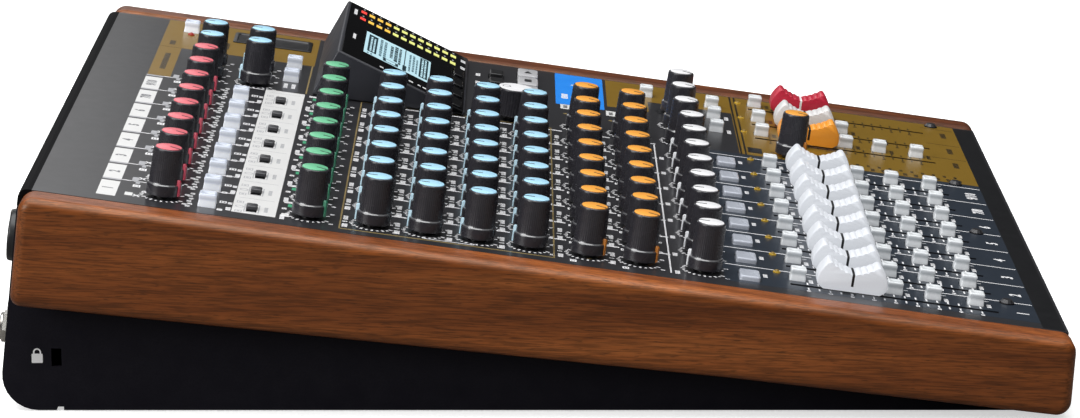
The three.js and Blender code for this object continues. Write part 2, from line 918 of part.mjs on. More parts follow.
// Cheeks, flat inside and rounded over outside
function cheek(side) {
  const shape = new THREE.Shape(
    rounded(
      [
        [-cheekFrontY, cheekFrontZ, cheekCorner],
        [-cheekToeY, cheekToeZ, cheekCorner],
        [-cheekBendY, cheekBendZ],
        [cheekHeelY, cheekHeelZ, cheekSmallCorner],
        [cheekRearY, cheekRearZ, cheekCorner],
      ],
      cornerSteps,
    ).map(([y, z]) => new THREE.Vector2(y, z)),
  );
  const geometry = new THREE.ExtrudeGeometry(shape, {
    depth: cheekThickness,
    bevelEnabled: true,
    bevelThickness: cheekRound,
    bevelSize: cheekRound,
    bevelOffset: -cheekRound,
    bevelSegments: 3,
  });
  geometry.rotateY(Math.PI / 2);
  geometry.rotateX(Math.PI / 2);
  const outer = cheekInner + cheekThickness;
  geometry.translate(side > 0 ? cheekInner - cheekRound : cheekRound - outer, 0, 0);
  const near = side > 0 ? cheekInner : -outer;
  const keep = block(near, near + cheekThickness, -cheekInner * 2, cheekInner * 2, 0, cheekInner);
  return solid(geometry).intersect(keep);
}

piece("right_cheek", cheek(1), "wood", console_);
piece("left_cheek", cheek(-1), "wood", console_);

// The rear wall's own frame: x to the left as seen from behind, y up the wall, z out of it
const rearLean = Math.atan2(trayRearFootY - trayRearTopY, trayRearTopZ - trayBottom);
const rearMatrix = new THREE.Matrix4()
  .makeBasis(
    new THREE.Vector3(-1, 0, 0),
    new THREE.Vector3(0, -Math.sin(rearLean), Math.cos(rearLean)),
    new THREE.Vector3(0, Math.cos(rearLean), Math.sin(rearLean)),
  )
  .setPosition(0, trayRearTopY, trayRearTopZ);
const rear = new THREE.Group();
rear.name = "rear_frame";
rear.applyMatrix4(rearMatrix);
console_.add(rear);

const micX = every.map((i) => channelX(i));
const jackX = [...micX, ...outletX];

// Tray: side walls, rounded rear and front, a flange round the open floor, cut-outs for sockets and the lock
const tray = sideProfile(
  rounded(
    [
      [-trayFrontTopY, trayFrontTopZ],
      [-trayFrontFootY, trayBottom, trayFrontRound],
      [trayRearFootY, trayBottom, trayRearRound],
      [trayRearTopY, trayRearTopZ],
    ],
    traySteps,
  ),
  -trayHalfWidth,
  trayHalfWidth,
);
const trayFloor = flangeZ + flangeThickness;
const trayRoom = sideProfile(
  rounded(
    [
      [-trayFrontTopY + trayWall, trayRearTopZ * 2],
      [-trayFrontTopY + trayWall, trayFrontTopZ],
      [-trayFrontFootY + trayWall, trayFloor],
      [trayRearFootY - trayWall, trayFloor, trayRearRound - trayWall],
      [trayRearTopY - trayWall, trayRearTopZ],
      [trayRearTopY - trayWall, trayRearTopZ * 2],
    ],
    traySteps,
  ),
  -trayHalfWidth + trayWall,
  trayHalfWidth - trayWall,
);
const below = -trayFloor;
const notch = (y) =>
  block(-openHalfWidth * 2, openHalfWidth * 2, y, y + notchWidth, below, trayBottom + notchHeight);
const trayCuts = [
  trayRoom,
  block(-openHalfWidth, openHalfWidth, -openFront, openRear, below, trayFloor * 2),
  block(
    -plateHalfWidth - seatGap,
    plateHalfWidth + seatGap,
    -plateFront - seatGap,
    plateRear + seatGap,
    below,
    flangeZ,
  ),
  notch(plateRear),
  notch(-plateFront - notchWidth),
  block(
    -trayHalfWidth * 2,
    -openHalfWidth,
    lockY - lockWidth / 2,
    lockY + lockWidth / 2,
    lockZ - lockHeight / 2,
    lockZ + lockHeight / 2,
  ),
  ...micX.map((x) => drum(-x, micUp, micHole, -trayWall * 3, micOut, socketSides, rearMatrix)),
  ...jackX.map((x) => drum(-x, jackUp, jackBarrel + wallGap, -trayWall * 3, micOut, socketSides, rearMatrix)),
  tablet(-inletX, inletUp, inletHalf + wallGap, inletHalf + wallGap, -trayWall * 3, micOut, rearMatrix),
  tablet(-hostX, hostUp, hostHalfX + wallGap, hostHalfUp + wallGap, -trayWall * 3, micOut, rearMatrix),
  tablet(-powerX, powerUp, powerHalf + wallGap, powerHalf + wallGap, -trayWall * 3, micOut, rearMatrix),
];
piece("bottom_tray", cutBy(tray, trayCuts), "blackSteel", console_);

// Base plate with its four feet
const feet = [
  [-footX, footRearY],
  [footX, footRearY],
  [-footX, -footFrontY],
  [footX, -footFrontY],
];
piece(
  "base_plate",
  cutBy(
    block(-plateHalfWidth, plateHalfWidth, -plateFront, plateRear, trayBottom, trayBottom + plateThickness),
    feet.map(([x, y]) => drum(x, y, footRadius + seatGap, below, trayFloor, roundSides)),
  ),
  "blackSteel",
  console_,
);
feet.forEach(([x, y], i) => {
  piece("foot_" + (i + 1), drum(x, y, footRadius, 0, footHeight, roundSides), "rubber", console_);
});

// Rear socket board: microphone sockets over jack sockets, power inlet, host socket and the guide of the
// power switch
const mic = (x) =>
  turned(
    -x,
    micUp,
    [
      [0, socketBoardCore],
      [micRadius, socketBoardCore],
      [micRadius, micOut],
      [micRecess, micOut],
      [micRecess, micOut - micRecessDepth],
      [plugBore, micOut - micRecessDepth],
      [plugBore, -plugDepth],
      [0, -plugDepth],
    ],
    socketSides,
  );
const jack = (x) =>
  turned(
    -x,
    jackUp,
    [
      [0, socketBoardCore],
      [jackBody, socketBoardCore],
      [jackBody, -trayWall - wallGap],
      [jackBarrel, -trayWall - wallGap],
      [jackBarrel, wallGap],
      [jackNut, wallGap],
      [jackNut, jackOut],
      [plugBore, jackOut],
      [plugBore, -plugDepth],
      [0, -plugDepth],
    ],
    socketSides,
  );
piece(
  "rear_socket_board",
  joined([
    block(
      -socketBoardHalf,
      socketBoardHalf,
      socketBoardLow,
      socketBoardTop,
      socketBack - boardThickness,
      socketBack,
    ),
    ...micX.map(mic),
    ...jackX.map(jack),
    tablet(-inletX, inletUp, inletHalf, inletHalf, socketBoardCore, inletOut).subtract(
      drum(-inletX, inletUp, inletBore, -inletDepth, micOut, socketSides),
    ),
    tablet(-hostX, hostUp, hostHalfX, hostHalfUp, socketBoardCore, inletOut).subtract(
      tablet(-hostX, hostUp, hostSlotX, hostSlotUp, -hostDepth, micOut),
    ),
    tablet(-powerX, powerUp, powerGuide, powerGuide, socketBoardCore, powerGuideTop).subtract(
      tablet(-powerX, powerUp, powerHalf + wallGap, powerHalf + wallGap, powerFloor, 0),
    ),
  ]),
  "board",
  rear,
);
piece(
  "power_button",
  tablet(-powerX, powerUp, powerHalf, powerHalf, powerEnd, powerOut),
  "black",
  rear,
);

export default console_;
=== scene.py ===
import math
import random

import bpy
from mathutils import Matrix, Vector


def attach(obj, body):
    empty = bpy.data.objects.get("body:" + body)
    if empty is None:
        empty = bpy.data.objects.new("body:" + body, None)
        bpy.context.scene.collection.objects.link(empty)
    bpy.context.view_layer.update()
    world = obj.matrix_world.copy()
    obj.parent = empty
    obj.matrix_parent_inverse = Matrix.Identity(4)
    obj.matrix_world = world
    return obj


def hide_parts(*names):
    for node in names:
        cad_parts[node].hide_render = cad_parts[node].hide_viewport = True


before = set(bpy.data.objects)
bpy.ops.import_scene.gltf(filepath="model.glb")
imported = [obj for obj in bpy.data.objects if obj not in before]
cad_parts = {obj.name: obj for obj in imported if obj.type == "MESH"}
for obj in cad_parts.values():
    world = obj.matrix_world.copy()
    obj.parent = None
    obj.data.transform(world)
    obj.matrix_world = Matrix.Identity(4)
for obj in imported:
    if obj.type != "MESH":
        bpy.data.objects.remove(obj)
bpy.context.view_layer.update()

# A compact mixing console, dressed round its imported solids. Lengths are millimetres unless a name says
# otherwise, and MM turns them to Blender's metres.
MM = 0.001

# The control panel slopes. Its own frame is (x, s, n): x to the right cheek, s up the slope, n out of it.
PANEL_TILT = math.radians(8.075)
PANEL_MIDDLE_Z = 52.52
PANEL = Matrix.Translation((0, 0, PANEL_MIDDLE_Z * MM)) @ Matrix.Rotation(PANEL_TILT, 4, "X")
PANEL_FRONT, PANEL_HALF = -180.6, 156.2


def reach(node, place=PANEL, top_share=0):
    """Lowest and highest corner of a node in a place's own frame, in millimetres. With top_share, only of
    what is above that share of its height."""
    inverse = place.inverted()
    points = [inverse @ v.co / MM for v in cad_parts[node].data.vertices]
    foot, head = (pick(p.z for p in points) for pick in (min, max))
    points = [p for p in points if p.z >= foot + (head - foot) * top_share]
    return [Vector(pick(p[i] for p in points) for i in range(3)) for pick in (min, max)]


def middle(node):
    """A node's place on the panel as (x, s), taken at its top, where it is the same all round."""
    low, high = reach(node, PANEL, 0.8)
    return (low.x + high.x) / 2, (low.y + high.y) / 2


# Channel strips, from the nodes of the first strip and the faders
CHANNELS = 8
FIRST = middle("gain_knob")[0]
FADERS = ["channel_fader_%d" % (i + 1) for i in range(CHANNELS)]
MASTER_FADERS = ["effect_fader", "group_fader", "main_fader"]
PITCH = middle(FADERS[1])[0] - middle(FADERS[0])[0]
CHANNEL_X = [FIRST + i * PITCH for i in range(CHANNELS)]
RED_ROW, GREEN_ROW = middle("gain_knob")[1], middle("compressor_knob")[1]
BLUE_ROWS = [middle(n + "_knob")[1] for n in ("treble", "upper_mid", "lower_mid", "bass")]
ORANGE_ROWS = [middle("send_%d_knob" % i)[1] for i in (1, 2)]
WHITE_ROW = middle("pan_knob")[1]
LOW_CUT = middle("low_cut_button")
MODE_ROW = middle("mode_switch")[1]
MUTE_ROW = middle("mute_button")[1]
ASSIGN = [middle("assign_button_%d" % (i + 1)) for i in range(4)]
ASSIGN_SHIFT = ASSIGN[0][0] - FIRST
ASSIGN_ROWS = [s for _, s in ASSIGN]
FADER_X = [middle(n)[0] for n in FADERS + MASTER_FADERS]
SLOT_MIDDLE, SLOT_LENGTH, SLOT_WIDTH = -123, 71, 2.2

# Master controls that share a board with the strips, so that no node of their own gives their place
BLOCK_X = (92, 117.4, 145.2)
MASTER_ASSIGN = [(x, s) for x, rows in zip(BLOCK_X, (4, 2, 1)) for s in ASSIGN_ROWS[:rows]]
TRIO = [(x, -72.3) for x in (88, 112.3, 132)]
SINGLE = (136, -46)
PAIR = [(72, 93.2), (97, 93.2)]
MENU_X, MENU_ROW = (116.5, 90), middle("menu_key")[1]
TRANSPORT_X, TRANSPORT_ROW = (122.4, 106.2), middle("play_key")[1]
SOFT_KEY_X = (75.4, 94.1, 112.8)
SCREWS = [(x, -162.8) for x in (-127, -27, 50.6, 152.4)]

# Wooden cheeks
CHEEK_INNER, CHEEK_THICK, CHEEK_ROUND = 156.5, 15, 3.6

# Rear wall's own frame: x to the left as seen from behind, y up the wall, z out of it
WALL_TOP_Y, WALL_TOP_Z, WALL_FOOT_Y, WALL_FOOT_Z = 170.75, 70.2, 178.65, 0.3
WALL_LEAN = math.atan2(WALL_FOOT_Y - WALL_TOP_Y, WALL_TOP_Z - WALL_FOOT_Z)
WALL = (
    Matrix.Translation((0, WALL_TOP_Y * MM, WALL_TOP_Z * MM))
    @ Matrix.Rotation(math.pi, 4, "Z")
    @ Matrix.Rotation(math.radians(90) - WALL_LEAN, 4, "X")
)
MIC_UP, JACK_UP = -13.6, -45.5
OUTLET_X = (52, 74, 96, 118)
INLET_X, HOST_X = 140, 72


def linear(code):
    """An sRGB hex colour in the linear values that Blender works in."""
    parts = [int(code[i : i + 2], 16) / 255 for i in (1, 3, 5)]
    return [c / 12.92 if c <= 0.04045 else ((c + 0.055) / 1.055) ** 2.4 for c in parts] + [1]


def add(tree, kind, inputs=None, **settings):
    """Adds a shader node of a kind, with its settings, and its inputs as values or as links from sockets."""
    node = tree.nodes.new("ShaderNode" + kind)
    for name, value in settings.items():
        setattr(node, name, value)
    for name, value in (inputs or {}).items():
        if isinstance(value, bpy.types.NodeSocket):
            tree.links.new(value, node.inputs[name])
        else:
            node.inputs[name].default_value = value
    return node


def finish(name, colour, roughness, **sockets):
    """A material with its principled shader set; sockets are named with _ for each space."""
    made = bpy.data.materials.new(name)
    made.use_nodes = True
    shader = made.node_tree.nodes["Principled BSDF"]
    shader.inputs["Base Color"].default_value = linear(colour)
    shader.inputs["Roughness"].default_value = roughness
    for socket, value in sockets.items():
        shader.inputs[socket.replace("_", " ")].default_value = value
    return made


def surface(made, grit, depth, dark, light, rough_low, rough_high):
    """Gives a finish its fine surface: grit is the size of its grains and depth their height, in millimetres.
    The colour wanders between dark and light, and the roughness between its two values."""
    tree = made.node_tree
    shader = tree.nodes["Principled BSDF"]
    place = add(tree, "TexCoord").outputs["Object"]
    fine = add(tree, "TexNoise", {"Vector": place, "Scale": 1 / (grit * MM), "Detail": 2.0})
    cloud = add(tree, "TexNoise", {"Vector": place, "Scale": 1 / (grit * 14 * MM), "Detail": 3.0})
    both = add(tree, "Math", {0: fine.outputs["Fac"], 1: cloud.outputs["Fac"]}, operation="MULTIPLY")
    spread = add(tree, "MapRange", {"Value": both.outputs[0], "From Min": 0.1, "From Max": 0.42})
    tint = add(tree, "Mix", {0: spread.outputs[0], 6: linear(dark), 7: linear(light)}, data_type="RGBA")
    tree.links.new(tint.outputs[2], shader.inputs["Base Color"])
    swing = {"From Min": 0.3, "From Max": 0.7, "To Min": rough_low, "To Max": rough_high}
    rough = add(tree, "MapRange", {"Value": cloud.outputs["Fac"], **swing})
    tree.links.new(rough.outputs[0], shader.inputs["Roughness"])
    if depth:
        bump = add(tree, "Bump", {"Height": fine.outputs["Fac"], "Distance": depth * MM, "Strength": 1.0})
        tree.links.new(bump.outputs["Normal"], shader.inputs["Normal"])
    return made


def ramp(tree, value, steps):
    """A colour ramp of (place, sRGB colour) steps, read at a value; gives its colour socket."""
    node = add(tree, "ValToRGB", {"Fac": value})
    while len(node.color_ramp.elements) < len(steps):
        node.color_ramp.elements.new(0.5)
    for element, (at, colour) in zip(node.color_ramp.elements, steps):
        element.position = at
        element.color = linear(colour)
    return node.outputs[0]


def masked(made, mask, colour, rough, specular):
    """Gives the part of a finish where the mask is 1 another colour, roughness and specular level."""
    tree = made.node_tree
    shader = tree.nodes["Principled BSDF"]
    base = shader.inputs["Base Color"].links[0].from_socket
    old = shader.inputs["Roughness"].links[0].from_socket
    tint = add(tree, "Mix", {0: mask, 6: base, 7: linear(colour)}, data_type="RGBA")
    tree.links.new(tint.outputs[2], shader.inputs["Base Color"])
    even = add(tree, "Mix", {0: mask, 2: old, 3: rough}, data_type="FLOAT")
    tree.links.new(even.outputs[0], shader.inputs["Roughness"])
    usual = shader.inputs["Specular IOR Level"].default_value
    level = add(tree, "MapRange", {"Value": mask, "To Min": usual, "To Max": specular})
    tree.links.new(level.outputs[0], shader.inputs["Specular IOR Level"])
    return made


# Walnut: the width of its growth bands, fibres and pores, the last two drawn a little coarser than real ones
# so that they show, and how wide each is for its length along the grain
BAND_WIDE, FIBRE_WIDE, PORE_WIDE = 8, 0.55, 0.4
GRAIN_SHARE, PORE_SHARE = 0.045, 0.1
GRAIN_SLOPE = PANEL_TILT * 0.3


def lacquered_walnut(name, steps):
    """Solid walnut, planed and sprayed with satin lacquer: soft bands along the board, darker fibre lines
    half a millimetre apart and short open pores that stay a little rough under the film."""
    made = finish(name, steps[1][1], 0.36, Specular_IOR_Level=0.5, Coat_Weight=0.16, Coat_Roughness=0.2)
    tree = made.node_tree
    shader = tree.nodes["Principled BSDF"]
    shader.inputs["Specular Tint"].default_value = linear("#ffdcb8")
    place = add(tree, "TexCoord").outputs["Object"]
    board = add(tree, "Mapping", {"Vector": place, "Rotation": (GRAIN_SLOPE, 0, 0)}, vector_type="TEXTURE")
    along = add(tree, "Mapping", {"Vector": board.outputs[0], "Scale": (1, GRAIN_SHARE, 1)}).outputs[0]
    longer = add(tree, "Mapping", {"Vector": board.outputs[0], "Scale": (1, PORE_SHARE, 1)}).outputs[0]
    bands, fibre, pores = [
        add(tree, "TexNoise", {"Vector": at, "Scale": 1 / (wide * MM), "Detail": fine, "Distortion": bend})
        for at, wide, fine, bend in (
            (along, BAND_WIDE, 3.0, 0.5),
            (along, FIBRE_WIDE, 3.0, 0.3),
            (longer, PORE_WIDE, 1.0, 0.2),
        )
    ]
    tone = ramp(tree, bands.outputs["Fac"], steps)
    lines = {"From Min": 0.38, "From Max": 0.6, "To Min": 0.62, "To Max": 1.24}
    fibres = add(tree, "MapRange", {"Value": fibre.outputs["Fac"], **lines})
    by = {"data_type": "RGBA", "blend_type": "MULTIPLY"}
    shaded = add(tree, "Mix", {0: 1.0, 6: tone, 7: fibres.outputs[0]}, **by)
    depths = {"From Min": 0.6, "From Max": 0.72, "To Max": 0.6}
    open_pores = add(tree, "MapRange", {"Value": pores.outputs["Fac"], **depths}).outputs[0]
    mixed = {0: open_pores, 6: shaded.outputs[2], 7: linear("#3c2010")}
    coloured = add(tree, "Mix", mixed, data_type="RGBA")
    # Faces that look up are painted paler, up to half as light again: painted light from overhead on the top
    # edge
    facing = add(tree, "SeparateXYZ", {"Vector": add(tree, "TexCoord").outputs["Normal"]})
    top_light_span = {"From Min": 0.35, "From Max": 0.95, "To Min": 1.0, "To Max": 1.45}
    pale = add(tree, "MapRange", {"Value": facing.outputs["Z"], **top_light_span})
    top_lit_colour = add(tree, "Mix", {0: 1.0, 6: coloured.outputs[2], 7: pale.outputs[0]}, **by)
    tree.links.new(top_lit_colour.outputs[2], shader.inputs["Base Color"])
    film = {"From Min": 0.3, "From Max": 0.7, "To Min": 0.48, "To Max": 0.34}
    rough = add(tree, "MapRange", {"Value": fibre.outputs["Fac"], **film})
    tree.links.new(rough.outputs[0], shader.inputs["Roughness"])
    height = add(tree, "Math", {0: fibre.outputs["Fac"], 1: open_pores}, operation="SUBTRACT")
    bump = add(tree, "Bump", {"Height": height.outputs[0], "Distance": 0.04 * MM, "Strength": 0.6})
    tree.links.new(bump.outputs["Normal"], shader.inputs["Normal"])
    return made


def lamp_lens(name, colour, strength):
    """A small window, printed or moulded, that glows in its own colour: lit from behind, or, where nothing
    behind it is lit, a painted glow.
    """
    made = finish(name, colour, 0.3, Emission_Strength=strength)
    made.node_tree.nodes["Principled BSDF"].inputs["Emission Color"].default_value = linear(colour)
    return made


WALNUT = lacquered_walnut(
    "lacquered_walnut",
    [(0.3, "#5c2d11"), (0.45, "#6f3a19"), (0.58, "#7e441e"), (0.72, "#8d5026")],
)
# The far board is the same walnut with darker steps: painted shade, as it lies turned away from the light
WALNUT_PAINTED_SHADE = lacquered_walnut(
    "lacquered_walnut_painted_shade",
    [(0.3, "#3c1a0a"), (0.45, "#4b230f"), (0.58, "#562b13"), (0.72, "#73401f")],
)
# Mild steel, folded and powder coated: matt with a fine orange peel 0.5 mm across
TRAY_COAT = surface(
    finish("powder_coated_steel", "#15141b", 0.6, Specular_IOR_Level=0.12),
    0.5, 0.012, "#13121a", "#1a1920", 0.55, 0.66,
)
# Steel sheet under satin stoving enamel: even grey that mirrors the light softly
PANEL_COAT = surface(
    finish("stoved_enamel_panel", "#2a2a2d", 0.3, Specular_IOR_Level=0.5),
    0.35, 0, "#2a2a2d", "#2b2b2e", 0.28, 0.3,
)
# Painted shade on the rear fold: where the sheet folds over the rear edge, the enamel is painted near black,
# rough and dull
FOLD_Y = 165.6
PANEL_TREE = PANEL_COAT.node_tree
PANEL_SPOT = add(PANEL_TREE, "SeparateXYZ", {"Vector": add(PANEL_TREE, "TexCoord").outputs["Object"]})
FOLD_PAINTED_SHADE = add(PANEL_TREE, "Math", {0: PANEL_SPOT.outputs["Y"], 1: FOLD_Y * MM}, operation="GREATER_THAN")
masked(PANEL_COAT, FOLD_PAINTED_SHADE.outputs[0], "#0c0c0e", 0.6, 0.05)
# ABS moulded in a spark-eroded tool: black, with a fine even grain that breaks up the sheen
KNOB_BLACK = surface(
    finish("moulded_black_abs", "#2d2c31", 0.27, Specular_IOR_Level=0.5),
    0.3, 0.003, "#2b2a2f", "#313035", 0.24, 0.3,
)
# The same ABS from a rougher tool: a dull black that shows its edges only
BUTTON_BLACK = surface(
    finish("moulded_black_key", "#141416", 0.36, Specular_IOR_Level=0.5),
    0.3, 0.004, "#111113", "#1a1a1d", 0.3, 0.42,
)
# ABS from a polished tool: a black that mirrors its surroundings
SOFT_BLACK = surface(
    finish("polished_black_key", "#0a0a0c", 0.14, Specular_IOR_Level=0.5),
    0.4, 0.001, "#08080a", "#0c0c0f", 0.1, 0.18,
)
# Grey nylon, moulded: soft highlights on a small head
NUB_GREY = surface(
    finish("moulded_grey_nub", "#414144", 0.36, Specular_IOR_Level=0.5),
    0.3, 0.003, "#3e3e41", "#464649", 0.32, 0.4,
)
# ABS in dark grey with a fine moulded grain: satin, with soft broad highlights
HOOD_GREY = surface(
    finish("moulded_grey_abs", "#2f3036", 0.42, Specular_IOR_Level=0.5),
    0.4, 0.004, "#2c2d33", "#323339", 0.38, 0.46,
)
# Polished acrylic, printed black from behind: deep and glossy
FACE_BLACK = surface(
    finish("back_printed_acrylic", "#050507", 0.08, Specular_IOR_Level=0.08),
    6, 0.0005, "#040406", "#070709", 0.05, 0.1,
)


def cap_lacquer(name, colour, dark, light):
    """ABS disc, moulded and lacquered in a strong colour with a soft sheen."""
    made = finish(name, colour, 0.34, Coat_Weight=0.15, Coat_Roughness=0.25)
    return surface(made, 0.4, 0.003, dark, light, 0.3, 0.4)


CAPS = {
    "red": cap_lacquer("lacquered_cap_red", "#e4737d", "#e06c77", "#e97b84"),
    "green": cap_lacquer("lacquered_cap_green", "#6cbf92", "#66ba8d", "#74c499"),
    "blue": cap_lacquer("lacquered_cap_blue", "#aedff8", "#a8daf4", "#b6e5fc"),
    "orange": cap_lacquer("lacquered_cap_orange", "#f3a53f", "#efa039", "#f6ac4a"),
    "white": cap_lacquer("lacquered_cap_white", "#efeff1", "#ebebee", "#f3f3f4"),
}
MARK_DARK = surface(finish("engraved_mark", "#1a1b1f", 0.5), 0.4, 0.003, "#17181b", "#1f2024", 0.45, 0.55)


def fader_plastic(name, dark, light, bright=0.0):
    """ABS moulded in a polished tool: even colour and a soft gloss. bright is a painted glow in the plastic's
    own colour: light that it gives off though it is no lamp. It stands in for light from all round, so the
    colours of a bright plastic are written darker than they render."""
    made = finish(name, light, 0.32, Coat_Weight=0.1, Emission_Strength=bright)
    made.node_tree.nodes["Principled BSDF"].inputs["Emission Color"].default_value = linear(light)
    return surface(made, 0.5, 0.002, dark, light, 0.28, 0.36)


# Knob flags glow faintly in their own colour: a painted glow
FLAGS = {
    "red": fader_plastic("moulded_flag_red", "#b9384e", "#c74259", 0.08),
    "green": fader_plastic("moulded_flag_green", "#398a6a", "#429473", 0.05),
    "blue": fader_plastic("moulded_flag_blue", "#c6e9fa", "#d0effd", 0.14),
    "orange": fader_plastic("moulded_flag_orange", "#b9701d", "#c67a24", 0.04),
    "white": fader_plastic("moulded_flag_white", "#eceef2", "#f2f4f7", 0.16),
}
# The white caps are the brightest part of the console and look nearly flat: much of their light is a painted
# glow, so their colour is written darker
FADER_WHITE = fader_plastic("polished_abs_white", "#b1b4b9", "#b7babf", 0.7)
# The coloured caps glow faintly too: a painted glow
FADER_ORANGE = fader_plastic("polished_abs_orange", "#ef982c", "#f3a139", 0.08)
FADER_GREY = fader_plastic("polished_abs_grey", "#d6d4d4", "#dddbda", 0.08)
KEY_SILVER = fader_plastic("satin_key_grey", "#b2b2b5", "#bababc")
FADER_RED = fader_plastic("polished_abs_red", "#b7233a", "#c52d44", 0.04)
# Paint wiped into a moulded groove: flat and even
LINE_BLACK = surface(
    finish("filled_line_black", "#141416", 0.4),
    0.4, 0.002, "#101012", "#1b1b1e", 0.35, 0.45,
)
LINE_WHITE = surface(
    finish("filled_line_white", "#eeeeee", 0.4),
    0.4, 0.002, "#e6e6e8", "#f2f2f2", 0.35, 0.45,
)


def frosted_polycarbonate(name, dark, light, glow=0.07, top=0, shade_steps=()):
    """Clear polycarbonate moulded over a frosted centre. glow is a painted glow in its own colour, light that
    it gives off though it is no lamp. The steps, if given, shade it over its height, top millimetres high:
    painted shade bands, lighter and darker, for how light falls on its dished top and sides."""
    made = finish(name, light, 0.25, Coat_Weight=0.3, Emission_Strength=glow)
    made.node_tree.nodes["Principled BSDF"].inputs["Emission Color"].default_value = linear(light)
    surface(made, 0.6, 0.003, dark, light, 0.22, 0.32)
    if shade_steps:
        tree = made.node_tree
        shader = tree.nodes["Principled BSDF"]
        up = add(tree, "SeparateXYZ", {"Vector": add(tree, "TexCoord").outputs["Object"]})
        share = add(tree, "MapRange", {"Value": up.outputs["Z"], "From Max": top * MM})
        shade = ramp(tree, share.outputs[0], shade_steps)
        base = shader.inputs["Base Color"].links[0].from_socket
        mixed = add(tree, "Mix", {0: 1.0, 6: base, 7: shade}, data_type="RGBA", blend_type="MULTIPLY")
        tree.links.new(mixed.outputs[2], shader.inputs["Base Color"])
        tree.links.new(mixed.outputs[2], shader.inputs["Emission Color"])
    return made


CAP_TOP, PALE_TOP = 4.2, 4.4
# Painted shade bands by height: each cap is darker a little above its middle, and the low-cut caps darker
# again at the top
CAP_SHADE_BANDS = [(0.0, "#ffffff"), (0.42, "#ffffff"), (0.62, "#d6d9db"), (0.8, "#e4e6e8"), (0.92, "#f2f3f3")]
PALE_SHADE_BANDS = [(0.0, "#ffffff"), (0.45, "#ffffff"), (0.62, "#e2e5ec"), (0.84, "#f6f7fa"), (0.95, "#cfd4dd")]
BUTTON_CLEAR = frosted_polycarbonate("frosted_polycarbonate", "#dadde0", "#e4e7e9", 0.16, CAP_TOP, CAP_SHADE_BANDS)
MUTE_CLEAR = frosted_polycarbonate("frosted_mute_pad", "#b0b5c0", "#bdc2cc")
BUTTON_WHITE = frosted_polycarbonate("milky_polycarbonate", "#dfe3ea", "#e9ecf2", 0.3, PALE_TOP, PALE_SHADE_BANDS)
# Acrylic lens over a glowing panel
LCD_GLOW = lamp_lens("backlit_display", "#abccd6", 0.5)
LCD_INK = surface(
    finish("display_segment", "#243a42", 0.3),
    0.4, 0.001, "#20353d", "#2b434c", 0.25, 0.35,
)
LCD_FAINT = surface(
    finish("display_segment_faint", "#5d7c86", 0.3),
    0.4, 0.001, "#557480", "#668591", 0.25, 0.35,
)
# Lenses of small lamps: an even glow in their own colour, weak where the lamp is off. That weak glow of the
# unlit amber lamps, and the glow of the gilt rings round them, is painted light
METER_RED = lamp_lens("meter_red", "#e2423a", 0.6)
METER_AMBER = lamp_lens("meter_amber", "#e3b54c", 0.6)
METER_GREEN = lamp_lens("meter_green", "#d3d67e", 0.6)
LAMP_AMBER = lamp_lens("amber_lamp", "#7d6316", 0.08)
LAMP_RED = lamp_lens("red_lamp", "#8e241d", 0.3)
LAMP_RING = lamp_lens("gilt_lamp_ring", "#b8952a", 0.06)
# Screen printing: a matt film of ink that lies a few hundredths of a millimetre proud
INKS = {
    "white": ("#ececee", "#f1f1f2"),
    "label": ("#dadad9", "#dfdfde"),
    "gold": ("#785c16", "#7e611a"),
    "goldline": ("#86744a", "#8d7b50"),
    "green": ("#3f9a70", "#47a478"),
    "slate": ("#232b35", "#262e39"),
    "blue": ("#1f86ea", "#268cee"),
    "dark": ("#0d0e11", "#101114"),
    "grey": ("#a6a7ab", "#acadb1"),
    "dim": ("#65666b", "#6b6c71"),
    "red": ("#a8231c", "#b92d24"),
}


def screen_ink(name, dark, light):
    made = finish("screen_ink_" + name, light, 0.32, Specular_IOR_Level=0.5)
    return surface(made, 0.5, 0.0005, dark, light, 0.3, 0.33)


INK = {name: screen_ink(name, *tones) for name, tones in INKS.items()}
# Steel screws, blackened and oiled: nearly black, with a small sharp highlight
SCREW_BLACK = surface(
    finish("blackened_steel", "#0a070c", 0.14, Specular_IOR_Level=0.1),
    0.4, 0.001, "#060408", "#0a070c", 0.1, 0.18,
)
# Brass under bright nickel: a warm mirror, a little clouded
NICKEL = surface(
    finish("nickel_plate", "#c4c2bd", 0.25, Metallic=1.0),
    0.8, 0.002, "#b4b2ad", "#cccac5", 0.2, 0.32,
)
# Bronze under a flash of gold: a clear yellow
GOLD_CONTACT = surface(
    finish("gold_flashed_contact", "#c9a24a", 0.25, Metallic=1.0),
    0.5, 0.002, "#bd963f", "#d4ae58", 0.2, 0.3,
)
# Moulded rubber: black and quite matt
RUBBER = surface(finish("moulded_rubber", "#161616", 0.85), 0.5, 0.02, "#121212", "#1c1c1c", 0.8, 0.92)
# Glass-fibre circuit board under green solder mask
MASK = surface(finish("solder_mask", "#1d4a2e", 0.4), 0.8, 0.004, "#173f27", "#245637", 0.34, 0.48)
# Tinned steel, pressed: a dull, greyish mirror
POT_STEEL = surface(
    finish("pressed_pot_case", "#9b9c9e", 0.35, Metallic=0.9),
    0.8, 0.003, "#8b8c8e", "#a9aaac", 0.3, 0.42,
)


